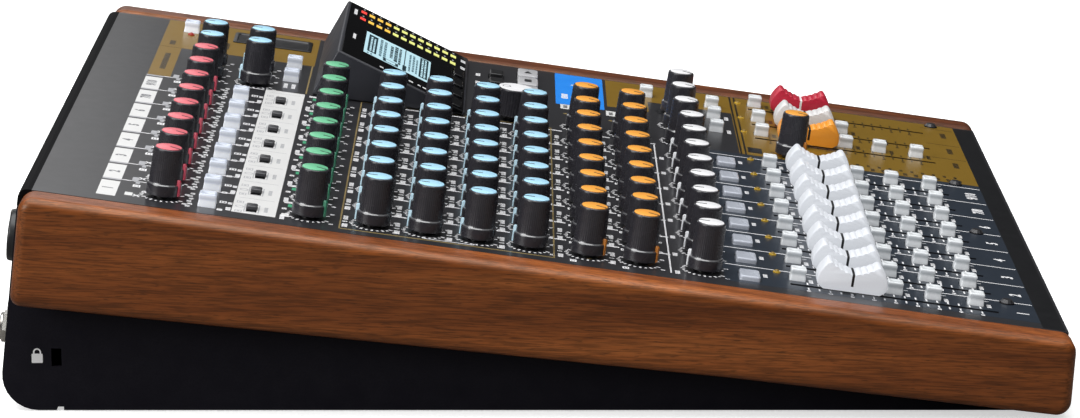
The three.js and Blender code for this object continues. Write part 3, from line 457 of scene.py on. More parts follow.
class Shape:
    """Points of one mesh, in millimetres of the frame that it is drawn in, and a finish for each face."""

    def __init__(self):
        self.points = []
        self.faces = []
        self.kinds = []

    def put(self, points, faces, kind=0):
        start = len(self.points)
        self.points += [tuple(p) for p in points]
        self.faces += [[start + i for i in face] for face in faces]
        self.kinds += [kind] * len(faces)
        return self

    def loft(self, loops, kind=0, hollow=False):
        """Joins loops of equal length by four-sided faces and closes the first and last with a face each, or,
        where hollow, joins the last loop to the first."""
        count, rows = len(loops[0]), len(loops)
        faces = []
        for row in range(rows if hollow else rows - 1):
            a, b = row * count, (row + 1) % rows * count
            for i in range(count):
                j = (i + 1) % count
                faces.append([a + i, a + j, b + j, b + i])
        if not hollow:
            faces.append(list(range(count))[::-1])
            faces.append([(rows - 1) * count + i for i in range(count)])
        return self.put([p for loop in loops for p in loop], faces, kind)

    def block(self, x0, x1, y0, y1, z0, z1, kind=0):
        low = [(x0, y0, z0), (x1, y0, z0), (x1, y1, z0), (x0, y1, z0)]
        return self.loft([low, [(x, y, z1) for x, y, _ in low]], kind)

    def prism(self, outline, z0, z1, kind=0):
        """An outline of (x, y), anticlockwise, drawn out along Z."""
        return self.loft([[(x, y, z0) for x, y in outline], [(x, y, z1) for x, y in outline]], kind)

    def turn(self, profile, sides, kind=0, at=(0, 0), hollow=False, ripple=None):
        """A profile of (radius, height) turned round Z, its radius changed by ripple(i, height) if given."""
        loops = []
        for radius, height in profile:
            loop = []
            for i in range(sides):
                angle = 2 * math.pi * i / sides
                r = radius + (ripple(i, height) if ripple else 0)
                loop.append((at[0] + r * math.cos(angle), at[1] + r * math.sin(angle), height))
            loops.append(loop)
        return self.loft(loops, kind, hollow)


# Bends up to so many degrees look smooth: on flat-sided pieces, on thin round ones, and on small soft caps
FLAT_BEND, BEND, WIDE_BEND = 30, 40, 50


def mesh_of(name, shape, finishes, sharp=FLAT_BEND):
    """The mesh of a shape, in metres, smooth but for edges sharper than that many degrees."""
    made = bpy.data.meshes.new(name)
    made.from_pydata([(x * MM, y * MM, z * MM) for x, y, z in shape.points], [], shape.faces)
    for one in finishes:
        made.materials.append(one)
    made.polygons.foreach_set("material_index", shape.kinds)
    made.shade_smooth()
    made.set_sharp_from_angle(angle=math.radians(sharp))
    made.update()
    return made


def piece(name, mesh, place, body="console", bevel=0, segments=2, stands_for=()):
    """Puts a mesh on a body. bevel is the width in millimetres that its edges are rounded by."""
    made = bpy.data.objects.new(name, mesh)
    bpy.context.scene.collection.objects.link(made)
    made.matrix_world = place
    if bevel:
        edge = made.modifiers.new("rounded_edges", "BEVEL")
        edge.width = bevel * MM
        edge.segments = segments
        edge.limit_method = "ANGLE"
        edge.angle_limit = math.radians(35)
        edge.harden_normals = True
    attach(made, body)
    if stands_for:
        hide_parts(*stands_for)
    return made


def on_panel(x, s, turn=0):
    """The place on the panel at (x, s), turned by that many degrees about the panel's normal."""
    return PANEL @ Matrix.Translation((x * MM, s * MM, 0)) @ Matrix.Rotation(math.radians(turn), 4, "Z")


def rounded(points, steps=8):
    """Rounds the corners of an outline of (a, b, radius)."""
    out = []
    for i, (a, b, radius) in enumerate(points):
        here = Vector((a, b))
        if not radius:
            out.append((a, b))
            continue
        before, after = points[i - 1], points[(i + 1) % len(points)]
        back = (Vector(before[:2]) - here).normalized()
        forth = (Vector(after[:2]) - here).normalized()
        half = back.angle(forth) / 2
        centre = here + (back + forth).normalized() * (radius / math.sin(half))
        start = here + back * (radius / math.tan(half)) - centre
        end = here + forth * (radius / math.tan(half)) - centre
        turn = math.atan2(start.x * end.y - start.y * end.x, start.dot(end))
        for k in range(steps + 1):
            at = Matrix.Rotation(turn * k / steps, 2) @ start
            out.append(tuple(centre + at))
    return out


def oblong(half_x, half_y, radius, steps=6):
    """A rectangle about the middle with round corners, anticlockwise."""
    corners = ((half_x, -half_y), (half_x, half_y), (-half_x, half_y), (-half_x, -half_y))
    return rounded([(x, y, radius) for x, y in corners], steps)


# The ledge on a knob's skirt is buffed, so it throws back a thin bright line; its colour is also a little
# lighter than the body's black, a painted highlight along the ledge
KNOB_LEDGE = surface(
    finish("buffed_abs_edge", "#3c3c40", 0.16, Specular_IOR_Level=1.0, Coat_Weight=1.0, Coat_Roughness=0.1),
    0.3, 0.001, "#38383c", "#424246", 0.14, 0.2,
)

# Knobs: skirt, ribbed body, coloured cap with a dark mark, and a coloured rib on the skirt below the mark
KNOB_RIBS = 48
KNOB_RIB_DEPTH = 0.09
KNOB_SIDES = KNOB_RIBS * 4
LEDGE_FROM, LEDGE_TO = 4.68, 5.26
KNOB_BODY = [
    (3.0, 1.1),
    (5.75, 1.1),
    (5.95, 1.3),
    (5.95, 4.62),
    (5.91, 4.76),
    (5.8, 4.9),
    (5.6, 5.06),
    (5.42, 5.18),
    (5.37, 5.3),
    (5.34, 5.7),
    (5.06, 15.9),
    (5.02, 16.4),
    (4.92, 16.8),
    (4.7, 17.0),
    (4.42, 17.04),
    (4.38, 16.95),
]
KNOB_CAP = [(4.36, 16.9), (4.36, 17.15), (4.26, 17.3), (4.05, 17.37), (0.02, 17.4)]
RIBBED = (5.7, 15.9)
MARK_HALF, MARK_FROM, MARK_TO, MARK_TOP, MARK_DEEP = 0.32, 0.6, 4.3, 17.44, 0.3
FLAG_HALF, FLAG_IN, FLAG_OUT, FLAG_FOOT, FLAG_TOP = 0.7, 4.7, 6.32, 1.4, 6.9
FLAG_TAPER, FLAG_HEAD, FLAG_SLOPE, FLAG_LEAN = 0.7, 0.8, 0.5, 0.35


def knob_mesh(name, cap):
    """A knob about its own axis, its mark towards +Y."""
    shape = Shape()

    def ribs(i, height):
        return -KNOB_RIB_DEPTH if RIBBED[0] <= height <= RIBBED[1] and i % 4 > 1 else 0

    shape.turn(KNOB_BODY, KNOB_SIDES, 0, ripple=ribs)
    shape.turn(KNOB_CAP, KNOB_SIDES // 2, 1)
    shape.block(-MARK_HALF, MARK_HALF, MARK_FROM, MARK_TO, MARK_TOP - MARK_DEEP, MARK_TOP, 2)
    outer = FLAG_HALF * FLAG_TAPER
    low = [(-FLAG_HALF, FLAG_IN), (FLAG_HALF, FLAG_IN), (outer, FLAG_OUT), (-outer, FLAG_OUT)]
    loops = [[(x, y, n) for x, y in low] for n in (FLAG_FOOT, FLAG_TOP - FLAG_SLOPE)]
    loops.append([(x * FLAG_HEAD, min(y, FLAG_OUT - FLAG_LEAN), FLAG_TOP) for x, y in low])
    shape.loft(loops, 3)
    made = mesh_of(name, shape, [KNOB_BLACK, CAPS[cap], MARK_DARK, FLAGS[cap], KNOB_LEDGE], 24)
    for face in made.polygons:
        if face.material_index == 0 and LEDGE_FROM * MM < face.center.z < LEDGE_TO * MM:
            face.material_index = 4
    return made


KNOBS = {cap: knob_mesh("knob_" + cap, cap) for cap in CAPS}
NOON, SEVEN = 0, 150


def knob(name, cap, x, s, turn, node=None):
    """A knob on the panel: a node's own on its body, or one that its board carries."""
    body, stood = (node, (node,)) if node else ("console", ())
    return piece(name, KNOBS[cap], on_panel(x, s, turn), body, stands_for=stood)


ROWS = [
    ("gain", "red", RED_ROW, SEVEN),
    ("compressor", "green", GREEN_ROW, SEVEN),
    ("treble", "blue", BLUE_ROWS[0], NOON),
    ("upper_mid", "blue", BLUE_ROWS[1], NOON),
    ("lower_mid", "blue", BLUE_ROWS[2], NOON),
    ("bass", "blue", BLUE_ROWS[3], NOON),
    ("send_1", "orange", ORANGE_ROWS[0], SEVEN),
    ("send_2", "orange", ORANGE_ROWS[1], SEVEN),
    ("pan", "white", WHITE_ROW, NOON),
]
for row, cap, s, turn in ROWS:
    for i, x in enumerate(CHANNEL_X):
        node = row + "_knob" if i == 0 else None
        knob("%s_cap_%d" % (row, i + 1), cap, x, s, turn, node)
MASTERS = (
    [("monitor_knob_%d" % i, "blue", NOON) for i in (1, 2, 3, 4)]
    + [("effect_send_knob_%d" % i, "orange", SEVEN) for i in (1, 2)]
    + [("level_knob_%d" % i, "white", SEVEN) for i in (1, 2, 3)]
    + [("phones_knob", "orange", SEVEN)]
)
for node, cap, turn in MASTERS:
    knob(node + "_cap", cap, *middle(node), turn, node)

# Jog dial: smooth edge, white top with a finger dish
JOG_X, JOG_S = middle("jog_dial")
JOG_RADIUS, JOG_TOP = reach("jog_dial")[1].x - JOG_X, reach("jog_dial")[1].z
JOG_RIM, JOG_TOOTH, JOG_TEETH, JOG_INSET = 0.8, 0.18, 40, 0.45
JOG_FOOT = [(3, 1.9), (JOG_RADIUS - 0.2, 1.9), (JOG_RADIUS, 2.1), (JOG_RADIUS, 2.3), (JOG_RADIUS, 2.6)]
JOG_DISH = [(1.7, -0.02), (1.6, 0.02), (1.2, -0.01), (0.02, -0.01)]


def jog_dial():
    shape = Shape()
    quarter = [math.radians(90 - 15 * k) for k in range(4)]
    turns = [(1 - math.sin(t), 1 - math.cos(t)) for t in quarter]
    edge = [(JOG_RADIUS - JOG_RIM * a, JOG_TOP - JOG_RIM * b) for a, b in turns]

    def teeth(i, height):
        return -JOG_TOOTH if 2.4 < height < JOG_TOP - JOG_RIM - 0.4 and i % 4 > 1 else 0

    walls = [(JOG_RADIUS, JOG_TOP - JOG_RIM - under) for under in (0.6, 0.2)]
    shape.turn(JOG_FOOT + walls + edge, JOG_TEETH * 4, 0, ripple=teeth)
    top = JOG_RADIUS - JOG_INSET
    disc = [(top, JOG_TOP - 0.3), (top - 0.1, JOG_TOP - 0.03), (top - 0.5, JOG_TOP), (0.02, JOG_TOP)]
    shape.turn(disc, JOG_TEETH * 2, 1)
    shape.turn([(r, JOG_TOP + n) for r, n in JOG_DISH], 32, 2, (0, top * 0.55))
    return mesh_of("jog_dial_body", shape, [KNOB_BLACK, CAPS["white"], MARK_DARK])


JOG_AT = on_panel(JOG_X, JOG_S)
piece("jog_dial_body", jog_dial(), JOG_AT, "jog_dial", stands_for=("jog_dial",))

# Fader caps: a saddle between two horns, four soft lobes on each slope, and an inlaid line across the middle
# that runs down both sides
CAP_HALF = 4.9
CAP_BASE, CAP_HEM, CAP_FLARE = (9.8, 1.2), (11.6, 2.6), (11.8, 5.2)
CAP_SIDE = [(11.85, 3.9), CAP_FLARE, (11.5, 6.7), (10.95, 7.9), (10.2, 9.2), (9.3, 10.4), (8.8, 10.9)]
CAP_PEAK, CAP_DIP, CAP_RISE = (8.5, 11.0), (1.2, 7.4), 1.5
CAP_LOBES, CAP_LOBE_HEIGHT, LOBE_STEPS = 4, 0.45, 6
CAP_CROWN = [(CAP_HALF, 0.75, 0.3), (4.78, 0.5, 0.12), (4.5, 0.36, 0.03), (3.6, 0.22, 0), (2.0, 0.07, 0)]
CAP_CROWN += [(0, 0, 0)]
LINE_HALF, LINE_RISE, LINE_DEEP, LINE_END = 0.42, 0.04, 0.5, 3.1
LEVER_HALF_X, LEVER_HALF_S, LEVER_END = 0.7, 2.4, -5.6


def cap_outline():
    """A fader cap's side outline as (s, n), from the base over the saddle to the base on the other side."""
    half = [(CAP_BASE[0] - 0.2, CAP_BASE[1]), (CAP_BASE[0] + 0.1, CAP_BASE[1] + 0.12), CAP_HEM] + CAP_SIDE
    steps = CAP_LOBES * LOBE_STEPS
    for k in range(steps, -1, -1):
        t = k / steps
        lobe = CAP_LOBE_HEIGHT * abs(math.sin(math.pi * CAP_LOBES * t))
        rise = (CAP_PEAK[1] - CAP_DIP[1]) * t**CAP_RISE
        half.append((CAP_DIP[0] + (CAP_PEAK[0] - CAP_DIP[0]) * t, CAP_DIP[1] + rise + lobe))
    return half + [(-s, n) for s, n in half[::-1]]


def crowned(n, drop):
    """A height on the cap lowered towards the cap's side, most at the top."""
    share = max(0, (n - CAP_FLARE[1]) / (CAP_PEAK[1] - CAP_FLARE[1]))
    return n - drop * share


def fader_mesh(name, plastic, line):
    """A fader cap about its own middle, with its metal lever below."""
    shape = Shape()
    stations = CAP_CROWN[:-1] + [(-x, drop, pull) for x, drop, pull in CAP_CROWN[::-1]]
    loops = []
    for x, drop, pull in stations:
        floor = CAP_HEM[1] if abs(x) == CAP_HALF else CAP_BASE[1]
        side = [(s - math.copysign(pull, s), max(n, floor)) for s, n in cap_outline()]
        loops.append([(x, s, crowned(n, drop)) for s, n in side])
    shape.loft(loops[::-1], 0)
    over = [(x, crowned(CAP_DIP[1], drop) + LINE_RISE) for x, drop, _ in stations]
    over = [(CAP_HALF + LINE_RISE, LINE_END)] + over + [(-CAP_HALF - LINE_RISE, LINE_END)]
    over[1] = (over[0][0], over[1][1])
    over[-2] = (over[-1][0], over[-2][1])
    inside = CAP_HALF - LINE_DEEP
    deep = CAP_DIP[1] - LINE_DEEP
    strap = over + [(-inside, LINE_END), (-inside, deep), (inside, deep), (inside, LINE_END)]
    shape.loft([[(x, s, n) for x, n in strap] for s in (LINE_HALF, -LINE_HALF)], 1)
    shape.block(-LEVER_HALF_X, LEVER_HALF_X, -LEVER_HALF_S, LEVER_HALF_S, LEVER_END, CAP_HEM[1], 2)
    return mesh_of(name, shape, [plastic, line, NICKEL], BEND)


FADER_MESHES = [fader_mesh("fader_cap_white", FADER_WHITE, LINE_BLACK)] * CHANNELS + [
    fader_mesh("fader_cap_orange", FADER_ORANGE, LINE_BLACK),
    fader_mesh("fader_cap_grey", FADER_GREY, LINE_BLACK),
    fader_mesh("fader_cap_red", FADER_RED, LINE_WHITE),
]
FADER_SLOTS = ["white_plastic"] * CHANNELS + ["orange_plastic", "grey_plastic", "red_plastic"]
for node, mesh, slot in zip(FADERS + MASTER_FADERS, FADER_MESHES, FADER_SLOTS):
    x, s = middle(node)
    piece(node + "_cap", mesh, on_panel(x, s), node, stands_for=(node,))


# Buttons. A ring of a cap or pad is (height, how far it stands in from the side), and a foot reaches down to
# the switch
BUTTON_FOOT, BUTTON_WALL, PAD_EDGE, BUTTON_ROUND = -2.4, 0.2, 0.45, 0.5
WAIST_RINGS = [(0.7, 0), (1.5, 0.12), (2.2, 0.16), (2.9, 0.1)]
RIM_RINGS = [(0.75, 0.04), (0.35, 0.1), (0.08, 0.32), (0, 0.7), (0.16, 1.2), (0.4, 2.1)]


def waisted_button(name, half, top, plastic, foot=BUTTON_FOOT):
    """A square button cap with a dished top and slightly hollow sides."""
    shape = Shape()
    rings = [(foot, 0), (BUTTON_WALL, 0)] + [(n * top / CAP_TOP, inset) for n, inset in WAIST_RINGS]
    rings += [(top - under, inset) for under, inset in RIM_RINGS]
    shape.loft([[(x, y, n) for x, y in oblong(half - d, half - d, BUTTON_ROUND, 3)] for n, d in rings], 0)
    return mesh_of(name, shape, [plastic], WIDE_BEND)


CAP_SIZE, PALE_SIZE = 2.7, 3
ASSIGN_MESH = waisted_button("assign_cap", CAP_SIZE, CAP_TOP, BUTTON_CLEAR, -2.2)
LOW_CUT_MESH = waisted_button("low_cut_cap", PALE_SIZE, PALE_TOP, BUTTON_WHITE)


def pad_mesh(name, half_x, half_y, top, radius, plastic, edge=PAD_EDGE, foot=BUTTON_FOOT):
    """A low pad with round corners and a soft edge."""
    shape = Shape()
    rings = [(foot, 0), (top - edge, 0), (top - edge * 0.55, 0.06), (top - edge * 0.2, 0.22)]
    rings += [(top, edge + flat) for flat in (0.1, 0.3, 0.6)]
    loops = [[(x, y, n) for x, y in oblong(half_x - d, half_y - d, radius - d * 0.6, 4)] for n, d in rings]
    shape.loft(loops, 0)
    return mesh_of(name, shape, [plastic], WIDE_BEND)


MUTE_HALF_X, MUTE_HALF_S, MUTE_TOP, MUTE_ROUND, MUTE_EDGE = 5.2, 3.5, 1.6, 1.0, 0.7
MENU_HALF_X, MENU_HALF_S, MENU_TOP, MENU_ROUND = 4.2, 2.8, 2.2, 0.7
TRANSPORT_HALF_X, TRANSPORT_HALF_S, TRANSPORT_TOP, TRANSPORT_ROUND = 6.6, 4, 2.2, 1.0
MUTE_MESH = pad_mesh("mute_pad", MUTE_HALF_X, MUTE_HALF_S, MUTE_TOP, MUTE_ROUND, MUTE_CLEAR, MUTE_EDGE)
KEY_MESH = pad_mesh("menu_pad", MENU_HALF_X, MENU_HALF_S, MENU_TOP, MENU_ROUND, BUTTON_BLACK)
TRANSPORT_RINGS = [(0.45, 0), (0.25, 0.06), (0.09, 0.22), (0, 0.55)]
SIGN_DEEP, SIGN_PROUD = 0.1, 0.03


def sign_mesh(name, sign):
    """A transport key with a flat sign on top, an outline of (x, y)."""
    shape = Shape()
    rings = [(BUTTON_FOOT, 0)] + [(TRANSPORT_TOP - under, inset) for under, inset in TRANSPORT_RINGS]
    for_ring = [(n, d, TRANSPORT_ROUND - d * 0.6) for n, d in rings]
    outlines = [(n, oblong(TRANSPORT_HALF_X - d, TRANSPORT_HALF_S - d, r, 4)) for n, d, r in for_ring]
    shape.loft([[(x, y, n) for x, y in outline] for n, outline in outlines], 0)
    shape.prism(sign, TRANSPORT_TOP - SIGN_DEEP, TRANSPORT_TOP + SIGN_PROUD, 1)
    return mesh_of(name, shape, [KEY_SILVER, MARK_DARK], WIDE_BEND)


# The mode switch's knob as rings of (height, half length, half width): a stem in the slot under a flat head
NUB_RINGS = [(BUTTON_FOOT, 1.9, 1.5), (0.18, 1.9, 1.5), (0.18, 2.3, 1.9), (1.1, 2.3, 1.9)]
NUB_RINGS += [(1.32, 2.2, 1.8), (1.45, 1.95, 1.55)]
NUB_ROUND = 0.45


def nub_mesh():
    shape = Shape()
    shape.loft([[(x, y, n) for x, y in oblong(a, b, NUB_ROUND, 3)] for n, a, b in NUB_RINGS], 0)
    return mesh_of("mode_nub", shape, [NUB_GREY], WIDE_BEND)


NUB_MESH = nub_mesh()
TRANSPORT_MESHES = [
    sign_mesh("play_pad", [(-2.2, -1.7), (2.6, 0), (-2.2, 1.7)]),
    sign_mesh("stop_pad", [(-2.4, -1.4), (2.4, -1.4), (2.4, 1.4), (-2.4, 1.4)]),
    sign_mesh("back_pad", [(2.2, -1.7), (2.2, 1.7), (-2.6, 0)]),
]


def button(name, mesh, x, s, slot, node=None):
    """A button on the panel: a node's own on its body, or one that its board carries."""
    body, stood = (node, (node,)) if node else ("console", ())
    return piece(name, mesh, on_panel(x, s), body, stands_for=stood)


LOW_CUT_X = [x + LOW_CUT[0] - FIRST for x in CHANNEL_X]
for i, x in enumerate(CHANNEL_X):
    for name, mesh, at, s, slot, node in (
        ("low_cut_cap", LOW_CUT_MESH, LOW_CUT_X[i], LOW_CUT[1], "white_plastic", "low_cut_button"),
        ("mode_nub", NUB_MESH, x, MODE_ROW, "black_plastic", "mode_switch"),
        ("mute_pad", MUTE_MESH, x, MUTE_ROW, "clear_plastic", "mute_button"),
    ):
        button("%s_%d" % (name, i + 1), mesh, at, s, slot, node if i == 0 else None)
    for k, s in enumerate(ASSIGN_ROWS):
        node = "assign_button_%d" % (k + 1) if i == 0 else None
        button("assign_cap_%d_%d" % (i + 1, k + 1), ASSIGN_MESH, x + ASSIGN_SHIFT, s, "clear_plastic", node)
for i, (x, s) in enumerate(MASTER_ASSIGN + TRIO + [SINGLE]):
    button("master_cap_%d" % (i + 1), ASSIGN_MESH, x, s, "clear_plastic")
for i, (x, s) in enumerate(PAIR):
    button("monitor_cap_%d" % (i + 1), LOW_CUT_MESH, x, s, "white_plastic")
button("phantom_cap", LOW_CUT_MESH, *middle("phantom_button"), "white_plastic", "phantom_button")
button("menu_pad", KEY_MESH, *middle("menu_key"), "black_plastic", "menu_key")
button("play_pad", TRANSPORT_MESHES[0], *middle("play_key"), "silver_plastic", "play_key")
for i, x in enumerate(MENU_X):
    button("menu_pad_%d" % (i + 2), KEY_MESH, x, MENU_ROW, "black_plastic")
for i, x in enumerate(TRANSPORT_X):
    button("transport_pad_%d" % (i + 2), TRANSPORT_MESHES[i + 1], x, TRANSPORT_ROW, "silver_plastic")

# Overload lamps, one beside each mute pad and three in the master block
LAMP_SHIFT, LAMP_ROW = 11.8, -83.6
LAMP_RADIUS, LAMP_RISE, LAMP_FOOT, LAMP_RIM = 0.85, 0.5, -1.2, 0.45
PHANTOM_LAMP = (130.8, 136.2)


def lamp_mesh(name, lens, rim):
    """A domed lens in a ring."""
    shape = Shape()
    high = LAMP_RADIUS * 0.7
    rise = [math.radians(15 * k) for k in range(6)]
    dome = [(LAMP_RADIUS * math.cos(t), LAMP_RISE + high * math.sin(t)) for t in rise]
    shape.turn([(LAMP_RADIUS, LAMP_FOOT)] + dome + [(0.02, LAMP_RISE + high)], 20)
    out = LAMP_RADIUS + LAMP_RIM
    shape.turn([(out, 0.02), (out, 0.4), (out - 0.12, 0.55), (LAMP_RADIUS - 0.1, 0.55)], 24, 1)
    return mesh_of(name, shape, [lens, rim], WIDE_BEND)


LAMP_MESH = lamp_mesh("overload_lamp", LAMP_AMBER, LAMP_RING)
for i, x in enumerate([x + LAMP_SHIFT for x in CHANNEL_X] + list(BLOCK_X)):
    piece("overload_lamp_%d" % (i + 1), LAMP_MESH, on_panel(x, LAMP_ROW))
# The phantom lamp's ring takes the lens's red glow: a painted glow round the lens
piece("phantom_lamp", lamp_mesh("phantom_lamp", LAMP_RED, LAMP_RED), on_panel(*PHANTOM_LAMP))

# Screws: round heads with a cross recess
SCREW_RADIUS, SCREW_FOOT, SCREW_DOME, SCREW_TOP = 2.74, 0.1, 0.6, 0.72
CROSS_LONG, CROSS_SHORT, CROSS_LOW, CROSS_TOP = 1.25, 0.27, 0.3, 0.74


def screw_mesh():
    shape = Shape()
    rise = [math.radians(12 * k) for k in range(7)]
    head = [(SCREW_RADIUS * math.cos(t), SCREW_FOOT + SCREW_DOME * math.sin(t)) for t in rise]
    shape.turn([(SCREW_RADIUS, 0)] + head + [(0.9, 0.7), (0.02, SCREW_TOP)], 28)
    for half_x, half_s in ((CROSS_LONG, CROSS_SHORT), (CROSS_SHORT, CROSS_LONG)):
        shape.block(-half_x, half_x, -half_s, half_s, CROSS_LOW, CROSS_TOP, 1)
    return mesh_of("round_head_screw", shape, [SCREW_BLACK, MARK_DARK], BEND)


SCREW_MESH = screw_mesh()
SCREW_TURN, SCREW_TURN_STEP = 20, 31
for i, (x, s) in enumerate(SCREWS):
    piece("panel_screw_%d" % (i + 1), SCREW_MESH, on_panel(x, s, SCREW_TURN + SCREW_TURN_STEP * i))


# Printing: each mark is a thin closed film on the panel, and marks lie a little higher than the fields
FILM_FOOT, FIELD_TOP, MARK_FILM = -0.15, 0.02, 0.035
printed = {name: Shape() for name in INKS}


def bar(ink, x0, x1, s0, s1, top=MARK_FILM):
    printed[ink].block(min(x0, x1), max(x0, x1), min(s0, s1), max(s0, s1), FILM_FOOT, top)


def stroke(ink, x0, s0, x1, s1, width, top=MARK_FILM):
    """A printed line from one point to another."""
    along = Vector((x1 - x0, s1 - s0)).normalized() * (width / 2)
    side = Vector((-along.y, along.x))
    corners = ((x1, s1, -1), (x1, s1, 1), (x0, s0, 1), (x0, s0, -1))
    printed[ink].prism([(x + way * side.x, s + way * side.y) for x, s, way in corners], FILM_FOOT, top)


def dot(ink, x, s, radius, sides=10, top=MARK_FILM):
    printed[ink].turn([(radius, FILM_FOOT), (radius, top)], sides, at=(x, s))


def ring(ink, x, s, radius, width, sides=28, top=MARK_FILM):
    """A printed circle line, as a closed band."""
    band = [(radius, FILM_FOOT), (radius, top), (radius - width, top), (radius - width, FILM_FOOT)]
    printed[ink].turn(band, sides, at=(x, s), hollow=True)


def field(ink, x0, x1, s0, s1, holes=(), top=FIELD_TOP):
    """A printed area with rectangular holes, as closed blocks between them."""
    holes = [h for h in holes if h[1] > x0 and h[0] < x1 and h[3] > s0 and h[2] < s1]
    rows = sorted({s0, s1} | {min(max(v, s0), s1) for h in holes for v in h[2:]})
    for low, high in zip(rows, rows[1:]):
        level = (low + high) / 2
        start = x0
        for left, right in sorted((h[0], h[1]) for h in holes if h[2] < level < h[3]):
            if left > start:
                bar(ink, start, left, low, high, top)
            start = max(start, right)
        if start < x1:
            bar(ink, start, x1, low, high, top)


def frame_line(ink, x0, x1, s0, s1, width):
    """The outline of a rectangle."""
    bar(ink, x0, x1, s0, s0 + width)
    bar(ink, x0, x1, s1 - width, s1)
    bar(ink, x0, x0 + width, s0 + width, s1 - width)
    bar(ink, x1 - width, x1, s0 + width, s1 - width)


# A digit's letter size when the digit is 1 mm high, half its thickness, how much bolder it is made, and the
# steps of a curve
DIGIT_SIZE, DIGIT_HALF_DEEP, DIGIT_BOLD, DIGIT_STEPS = 1.4, 0.1, 0.055, 2


def figure(text):
    """A numeral's outline, 1 mm high and centred, as points and faces of a closed film."""
    curve = bpy.data.curves.new("numeral", "FONT")
    curve.body = text
    curve.size = DIGIT_SIZE
    curve.resolution_u = DIGIT_STEPS
    curve.extrude = DIGIT_HALF_DEEP
    curve.offset = DIGIT_BOLD
    curve.align_x = "CENTER"
    curve.align_y = "CENTER"
    holder = bpy.data.objects.new("numeral", curve)
    bpy.context.scene.collection.objects.link(holder)
    bpy.context.view_layer.update()
    made = holder.to_mesh()
    merged, keys = [], {}
    index = []
    for v in made.vertices:
        key = (round(v.co.x, 4), round(v.co.y, 4), round(v.co.z, 4))
        if key not in keys:
            keys[key] = len(merged)
            merged.append(key)
        index.append(keys[key])
    faces = [[index[i] for i in p.vertices] for p in made.polygons]
    faces = [f for f in faces if len(set(f)) == len(f)]
    holder.to_mesh_clear()
    bpy.data.objects.remove(holder)
    bpy.data.curves.remove(curve)
    return merged, faces


FIGURES = {}


def numeral(ink, text, x, s, high, top=MARK_FILM):
    """Prints a plain number about (x, s), its digits that many millimetres high."""
    if text not in FIGURES:
        FIGURES[text] = figure(text)
    points, faces = FIGURES[text]
    placed = [(x + a * high, s + b * high, top if c > 0 else FILM_FOOT) for a, b, c in points]
    printed[ink].put(placed, faces)


TICKS, FIVE_OCLOCK, TICK_STEP = 21, -60, 15
TICK_FROM, TICK_TO, TICK_WIDE, DOT_AT, DOT, END_OUT, END_BELOW = 6.4, 7.9, 0.75, 7.2, 0.5, 6.6, 7.8


def scale_round(ink, x, s, low="0", high="10", ends=1.5):
    """The scale round a knob from seven to five o'clock: ticks and dots by turns, a number at each end."""
    for k in range(TICKS):
        angle = math.radians(FIVE_OCLOCK + TICK_STEP * k)
        c, d = math.cos(angle), math.sin(angle)
        if k % 2:
            dot(ink, x + DOT_AT * c, s + DOT_AT * d, DOT, 8)
        else:
            stroke(ink, x + TICK_FROM * c, s + TICK_FROM * d, x + TICK_TO * c, s + TICK_TO * d, TICK_WIDE)
    numeral(ink, low, x - END_OUT, s - END_BELOW, ends)
    numeral(ink, high, x + END_OUT, s - END_BELOW, ends)


# A block's step as a share of a word's height, and the block as a share of the step
LETTER_SHARE, BLOCK_SHARE = 0.9, 0.72


def word_bar(ink, x, s, length, height=1.5):
    """Stands for a word: a plain row of short blocks."""
    count = max(2, round(length / (height * LETTER_SHARE)))
    step = length / count
    for k in range(count):
        left = x - length / 2 + k * step
        bar(ink, left, left + step * BLOCK_SHARE, s - height / 2, s + height / 2)


def icon(ink, x, s, half, line=0.35):
    """A small plain sign: a square line with a block in it."""
    frame_line(ink, x - half, x + half, s - half * 0.8, s + half * 0.8, line)
    bar(ink, x - half * 0.4, x + half * 0.4, s - half * 0.3, s + half * 0.3)


# Openings that the fields leave free: fader slots, pads and buttons, each with its gap
GAP = 0.28
SLOTS = [
    (x - SLOT_WIDTH / 2, x + SLOT_WIDTH / 2, SLOT_MIDDLE - SLOT_LENGTH / 2, SLOT_MIDDLE + SLOT_LENGTH / 2)
    for x in FADER_X
]


def opening(x, s, half_x, half_y):
    return (x - half_x - GAP, x + half_x + GAP, s - half_y - GAP, s + half_y + GAP)


OPENINGS = SLOTS + [opening(x, MUTE_ROW, MUTE_HALF_X, MUTE_HALF_S) for x in CHANNEL_X]
OPENINGS += [opening(x + ASSIGN_SHIFT, s, CAP_SIZE, CAP_SIZE) for x in CHANNEL_X for s in ASSIGN_ROWS]
OPENINGS += [opening(x, s, CAP_SIZE, CAP_SIZE) for x, s in MASTER_ASSIGN + TRIO + [SINGLE]]
MODE_SLOT_X, MODE_SLOT_S = 4.7, 1.8
MODE_LOW, MODE_HIGH = MODE_ROW - MODE_SLOT_S, MODE_ROW + MODE_SLOT_S
MODE_SLOTS = [(x - MODE_SLOT_X, x + MODE_SLOT_X, MODE_LOW, MODE_HIGH) for x in CHANNEL_X]
PALE_OPENINGS = [opening(*at, PALE_SIZE, PALE_SIZE) for at in [middle("phantom_button")] + PAIR]
STRIP_LEFT, STRIP_RIGHT = -149, 51.5
FADER_FIELD_TOP, FADER_FIELD_FOOT = -65, -172
DIVIDER = CHANNEL_X[1] - 10.2 - CHANNEL_X[0]
DIVIDER_WIDE, DIVIDER_BOLD = 0.7, 1.1
STRIP_NAMES = ["1", "2", "3", "4", "5", "6", "7/8", "9/10"]


